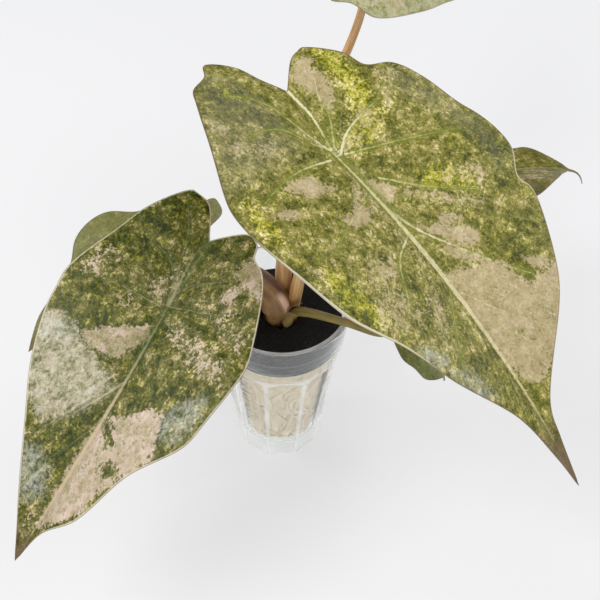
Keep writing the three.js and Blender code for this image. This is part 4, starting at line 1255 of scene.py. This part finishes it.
def leaf_underside(leaf):
    """Dull bronze and mauve below, paler along the raised veins."""
    n = Nodes("underside_" + leaf.name)
    cloud = n.noise(n.field("leaf", "Vector"), 0.9, 4.0)
    grain = n.noise(n.stretch(n.field("flow", "Vector"), 1.0, 0.4, 1.0), 11.0)
    colour = n.ramp(n.total((cloud, 0.8), (grain, 0.5), -0.15), (0.0, 84, 56, 58), (0.45, 112, 82, 76),
                    (0.75, 128, 110, 88), (1.0, 146, 140, 110))
    pale = n.step(n.total(n.field("beige"), (cloud, 8.0), -4.0), -0.6, 0.6)
    colour = n.over(colour, (184, 150, 138), pale, 0.6)
    beside, half, _ = n.parts("midrib")
    rib_gap = n.total(n.math("ABSOLUTE", beside), (half, -1.0))
    vein = n.step(n.math("MINIMUM", n.from_vein("vein"), rib_gap), 0.8, -0.2)
    colour = n.over(colour, (188, 160, 128), vein, 0.75)
    minor = n.step(n.from_vein("minor"), 0.5, -0.2)
    colour = n.over(colour, (160, 132, 112), minor, 0.35)
    colour = n.over(colour, (150, 92, 76), n.step(n.parts("rim")[0], 1.0, 0.3), 0.7)
    return n.shade(Base_Color=colour, Roughness=n.total((cloud, 0.2), 0.42),
                   Normal=n.bump(n.total((grain, 0.5), (minor, 0.5)), 0.0005, 0.6))


def stalk_look(name, dark, mid, light, blush, contrast=1.0, ridge=None):
    """Fibres that run along the stalk, with paler streaks, blush and small flecks. The sheath also
    has a painted pale highlight on its ridge side and a dark upper side."""
    n = Nodes(name)
    stem = n.field("stem", "Vector")
    streak = n.noise(stem, 6.0, 5.0, 0.65)
    cloud = n.noise(n.stretch(stem, 1.0, 1.0, 14.0), 1.3)
    fibres = n.total((streak, 1.3 * contrast), (n.noise(stem, 2.2), 0.8), 0.1 - 0.65 * contrast)
    colour = n.ramp(fibres, (0.15, *dark), (0.5, *mid), (0.85, *light))
    colour = n.over(colour, blush, n.step(cloud, 0.42, 0.68), 0.55)
    flecks = n.step(n.noise(n.stretch(stem, 1.0, 1.0, 30.0), 22.0, 2.0), 0.62, 0.75)
    colour = n.over(colour, dark, flecks, 0.35)
    if ridge:
        height = n.field("height")
        upper = n.times(n.step(height, 1.6, 2.5), n.field("lee"))
        colour = n.over(colour, (92, 48, 50), upper, 0.8)
        # A painted pale highlight on the sheath's ridge side, within a band of height
        along = n.times(n.step(height, 0.0, 0.6), n.step(height, 2.7, 2.0))
        mark = n.times(n.field("ridge"), n.total((cloud, 0.5), 0.75))
        colour = n.over(colour, ridge, mark, along)
    colour = n.over(colour, dark, n.step(n.field("height"), 0.5, -0.3), 0.6)
    return n.shade(Base_Color=colour, Roughness=n.total((streak, 0.25), 0.3),
                   Normal=n.bump(n.total((streak, 1.0), (flecks, 0.3)), 0.0006, 0.7))


def paper_look():
    n = Nodes("torn_paper")
    fibre = n.noise(n.stretch(n.field("stem", "Vector"), 9.0, 9.0, 0.6), 3.0, 4.0)
    colour = n.ramp(fibre, (0.25, 104, 78, 38), (0.5, 156, 126, 70), (0.8, 206, 184, 140))
    return n.shade(Base_Color=colour, Roughness=n.total((fibre, 0.3), 0.6),
                   Normal=n.bump(fibre, 0.0008, 0.8))


def glass_look():
    """Clear pressed glass with a faint green cast and the slight ripple of its mould. Lamps shine
    through it. White highlights are painted on the facet edges and the lip."""
    n = Nodes("pressed_glass")
    place = n.place()
    ripple = n.noise(n.stretch(place, 1.0, 1.0, 5.0), 45.0)
    smear = n.step(n.noise(place, 35.0, 4.0), 0.45, 0.75)
    glass = n.add("BsdfPrincipled", {
        "Base Color": n.mix(smear, (252, 254, 253), (247, 251, 249)), "IOR": 1.2,
        "Roughness": n.total((smear, 0.05), 0.01), "Transmission Weight": 0.94,
        "Normal": n.bump(ripple, 0.0012, 0.16)})
    open_way = n.add("BsdfTransparent", {"Color": srgb(247, 250, 249)})
    shadow = n.add("LightPath", {}).outputs["Is Shadow Ray"]
    # A white matte surface, mixed in on the facet edges and the lip as painted highlights
    pressed = n.add("BsdfPrincipled", {"Base Color": srgb(250, 253, 253), "Roughness": 0.35})
    painted_highlight = n.times(n.field("edge"), n.total((smear, 0.3), 0.5))
    with_painted_highlights = n.add("MixShader", {0: painted_highlight, 1: glass.outputs[0], 2: pressed.outputs[0]})
    return n.surface(n.add("MixShader", {0: shadow, 1: with_painted_highlights.outputs[0], 2: open_way.outputs[0]}))


def foam_look():
    n = Nodes("foam_cells")
    place = n.place()
    pores = n.cells(place, 900.0, "Distance")
    patches = n.noise(place, 120.0)
    colour = n.ramp(n.total((pores, 0.7), (patches, 0.4)), (0.2, 12, 12, 12), (0.6, 28, 28, 28),
                    (1.0, 48, 47, 46))
    # Painted reflection streaks on the side, where it touches the glass, and a painted highlight along its
    # outer top edge
    height = n.add("SeparateXYZ", {0: place}).outputs[2]
    painted_reflection_streaks = n.step(n.noise(n.stretch(place, 1.0, 1.0, 9.0), 42.0, 4.0), 0.46, 0.66)
    colour = n.over(colour, (112, 116, 118), n.step(height, 0.1216, 0.1206), painted_reflection_streaks)
    border = n.times(n.step(height, 0.1203, 0.1208), n.step(height, 0.1218, 0.1214))
    colour = n.over(colour, (150, 160, 163), border, 0.25)
    return n.shade(Base_Color=colour, Roughness=n.total((patches, 0.15), 0.8),
                   Specular_IOR_Level=0.2, Normal=n.bump(pores, 0.0006, 0.9))


def moss_look(name, pale):
    """Fine fibre in clumps, pale for the ball and darker for the rootstock."""
    n = Nodes(name)
    shaken = n.shaken(n.place(), 90.0, 0.006)
    fibre = n.noise(n.stretch(shaken, 1.0, 1.0, 0.35), 420.0, 5.0, 0.7)
    clump = n.noise(shaken, 55.0, 4.0)
    colour = n.ramp(n.total((fibre, 0.75), (clump, 0.55), -0.15), (0.2, 176, 146, 106),
                    (0.42, 224, 202, 168), (0.65, 240, 226, 204), (0.9, 248, 240, 226))
    colour = n.mix(n.total((fibre, -0.4 * (1 - pale)), 1 - pale), colour, (112, 84, 52))
    return n.shade(Base_Color=colour, Roughness=n.total((clump, 0.2), 0.7),
                   Normal=n.bump(n.total((fibre, 1.0), (clump, 1.0)), 0.0018, 0.9))


def root_look():
    n = Nodes("root_skin")
    stem = n.field("stem", "Vector")
    tone = n.noise(stem, 1.4, 4.0)
    own = n.noise(n.stretch(stem, 0.05, 1.0, 0.0), 1.0, 0.0)
    colour = n.ramp(n.total((tone, 0.6), (own, 0.7), -0.15), (0.25, 196, 168, 126),
                    (0.5, 234, 218, 190), (0.8, 248, 242, 228))
    return n.shade(Base_Color=colour, Roughness=n.total((tone, 0.2), 0.5),
                   Normal=n.bump(n.noise(stem, 9.0), 0.0004, 0.6))


def floor_look():
    n = Nodes("pale_board")
    colour = n.mix(n.noise(n.place(), 3.0), (159, 159, 160), (163, 163, 164))
    return n.shade(Base_Color=colour, Roughness=0.9, Specular_IOR_Level=0.1,
                   Emission_Color=(1.0, 1.0, 1.01, 1.0), Emission_Strength=0.505)


# The scene

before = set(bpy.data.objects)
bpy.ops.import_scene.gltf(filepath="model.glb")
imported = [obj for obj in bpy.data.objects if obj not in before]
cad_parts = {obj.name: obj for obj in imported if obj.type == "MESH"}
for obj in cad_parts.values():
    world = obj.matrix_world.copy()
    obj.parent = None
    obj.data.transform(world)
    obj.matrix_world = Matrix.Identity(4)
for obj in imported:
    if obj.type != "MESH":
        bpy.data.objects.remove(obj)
cad_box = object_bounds()
scene = bpy.context.scene
scene.view_settings.view_transform = "Standard"

for leaf in LEAVES:
    leaf.table = midrib_table(leaf)
    blade(leaf, [leaf_top(leaf), leaf_underside(leaf)])
skins = dict(
    tan_stalk=stalk_look("tan_skin", (140, 96, 48), (202, 160, 102), (236, 208, 158), (198, 146, 96)),
    # The sheath's last colour is the painted highlight on its ridge side
    brown_sheath=stalk_look("sheath_skin", (92, 68, 34), (142, 110, 64), (186, 154, 112),
                            (132, 84, 64), 0.5, (238, 200, 172)),
    olive_stalk=stalk_look("olive_skin", (88, 80, 34), (132, 120, 56), (168, 152, 86),
                           (150, 126, 66)),
)
for leaf in LEAVES:
    stalk(leaf, skins[leaf.skin])
papery_scale(LEAVES[-1], paper_look())

tumbler(glass_look())
foam_collar(foam_look())
moss_ball(moss_look("damp_moss", 1.0))
wound_roots(root_look())
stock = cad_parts["rootstock"]
stock.data.materials.clear()
stock.data.materials.append(moss_look("stock_fibre", 0.1))

# Floor, light and camera
half, below = 4, -2e-4
floor_mesh = bpy.data.meshes.new("floor")
corners = [(-half, -half, below), (half, -half, below), (half, half, below), (-half, half, below)]
floor_mesh.from_pydata(corners, [], [(0, 1, 2, 3)])
floor_mesh.materials.append(floor_look())
link("floor", floor_mesh)

world = bpy.data.worlds.new("studio")
world.use_nodes = True
sky = world.node_tree.nodes["Background"].inputs
sky["Color"].default_value = (0.98, 0.99, 1.0, 1)
sky["Strength"].default_value = 0.58
scene.world = world

# Large lamps stand where the leaves mirror them: over the left leaf and to the right of the plant
aim = Vector((0, 0, 0.2))
for name, way, far, size, power in (
    ("left_top", (-0.32, -0.30, 0.90), 1.5, 0.50, 7.0),
    ("left_side", (-0.68, 0.11, 0.72), 1.5, 0.45, 4.0),
    ("right_top", (0.48, 0.02, 0.88), 1.6, 0.45, 3.0),
    ("right_side", (0.85, 0.27, 0.45), 1.5, 0.40, 3.0),
    ("front_low", (0.12, -0.93, 0.36), 1.5, 0.60, 3.4),
):
    data = bpy.data.lights.new(name, "AREA")
    data.shape, data.size, data.energy = "DISK", size, power
    lamp = link(name, data)
    lamp.location = Vector(way) * far
    lamp.rotation_euler = (aim - lamp.location).to_track_quat("-Z", "Y").to_euler()

# The camera stands where the photo's stood
down, roll = math.radians(CAMERA.down), math.radians(CAMERA.roll)
ahead = Vector((0, math.cos(down), -math.sin(down)))
level, upright = Vector((1, 0, 0)), Vector((0, math.sin(down), math.cos(down)))
right = level * math.cos(roll) + upright * math.sin(roll)
up = upright * math.cos(roll) - level * math.sin(roll)
view = bpy.data.cameras.new("camera")
view.lens, view.sensor_width = CAMERA.lens, CAMERA.sensor
camera = link("camera", view)
camera.matrix_world = Matrix((right, up, -ahead)).transposed().to_4x4()
camera.location = Vector(CAMERA.place) * MM
scene.camera = camera
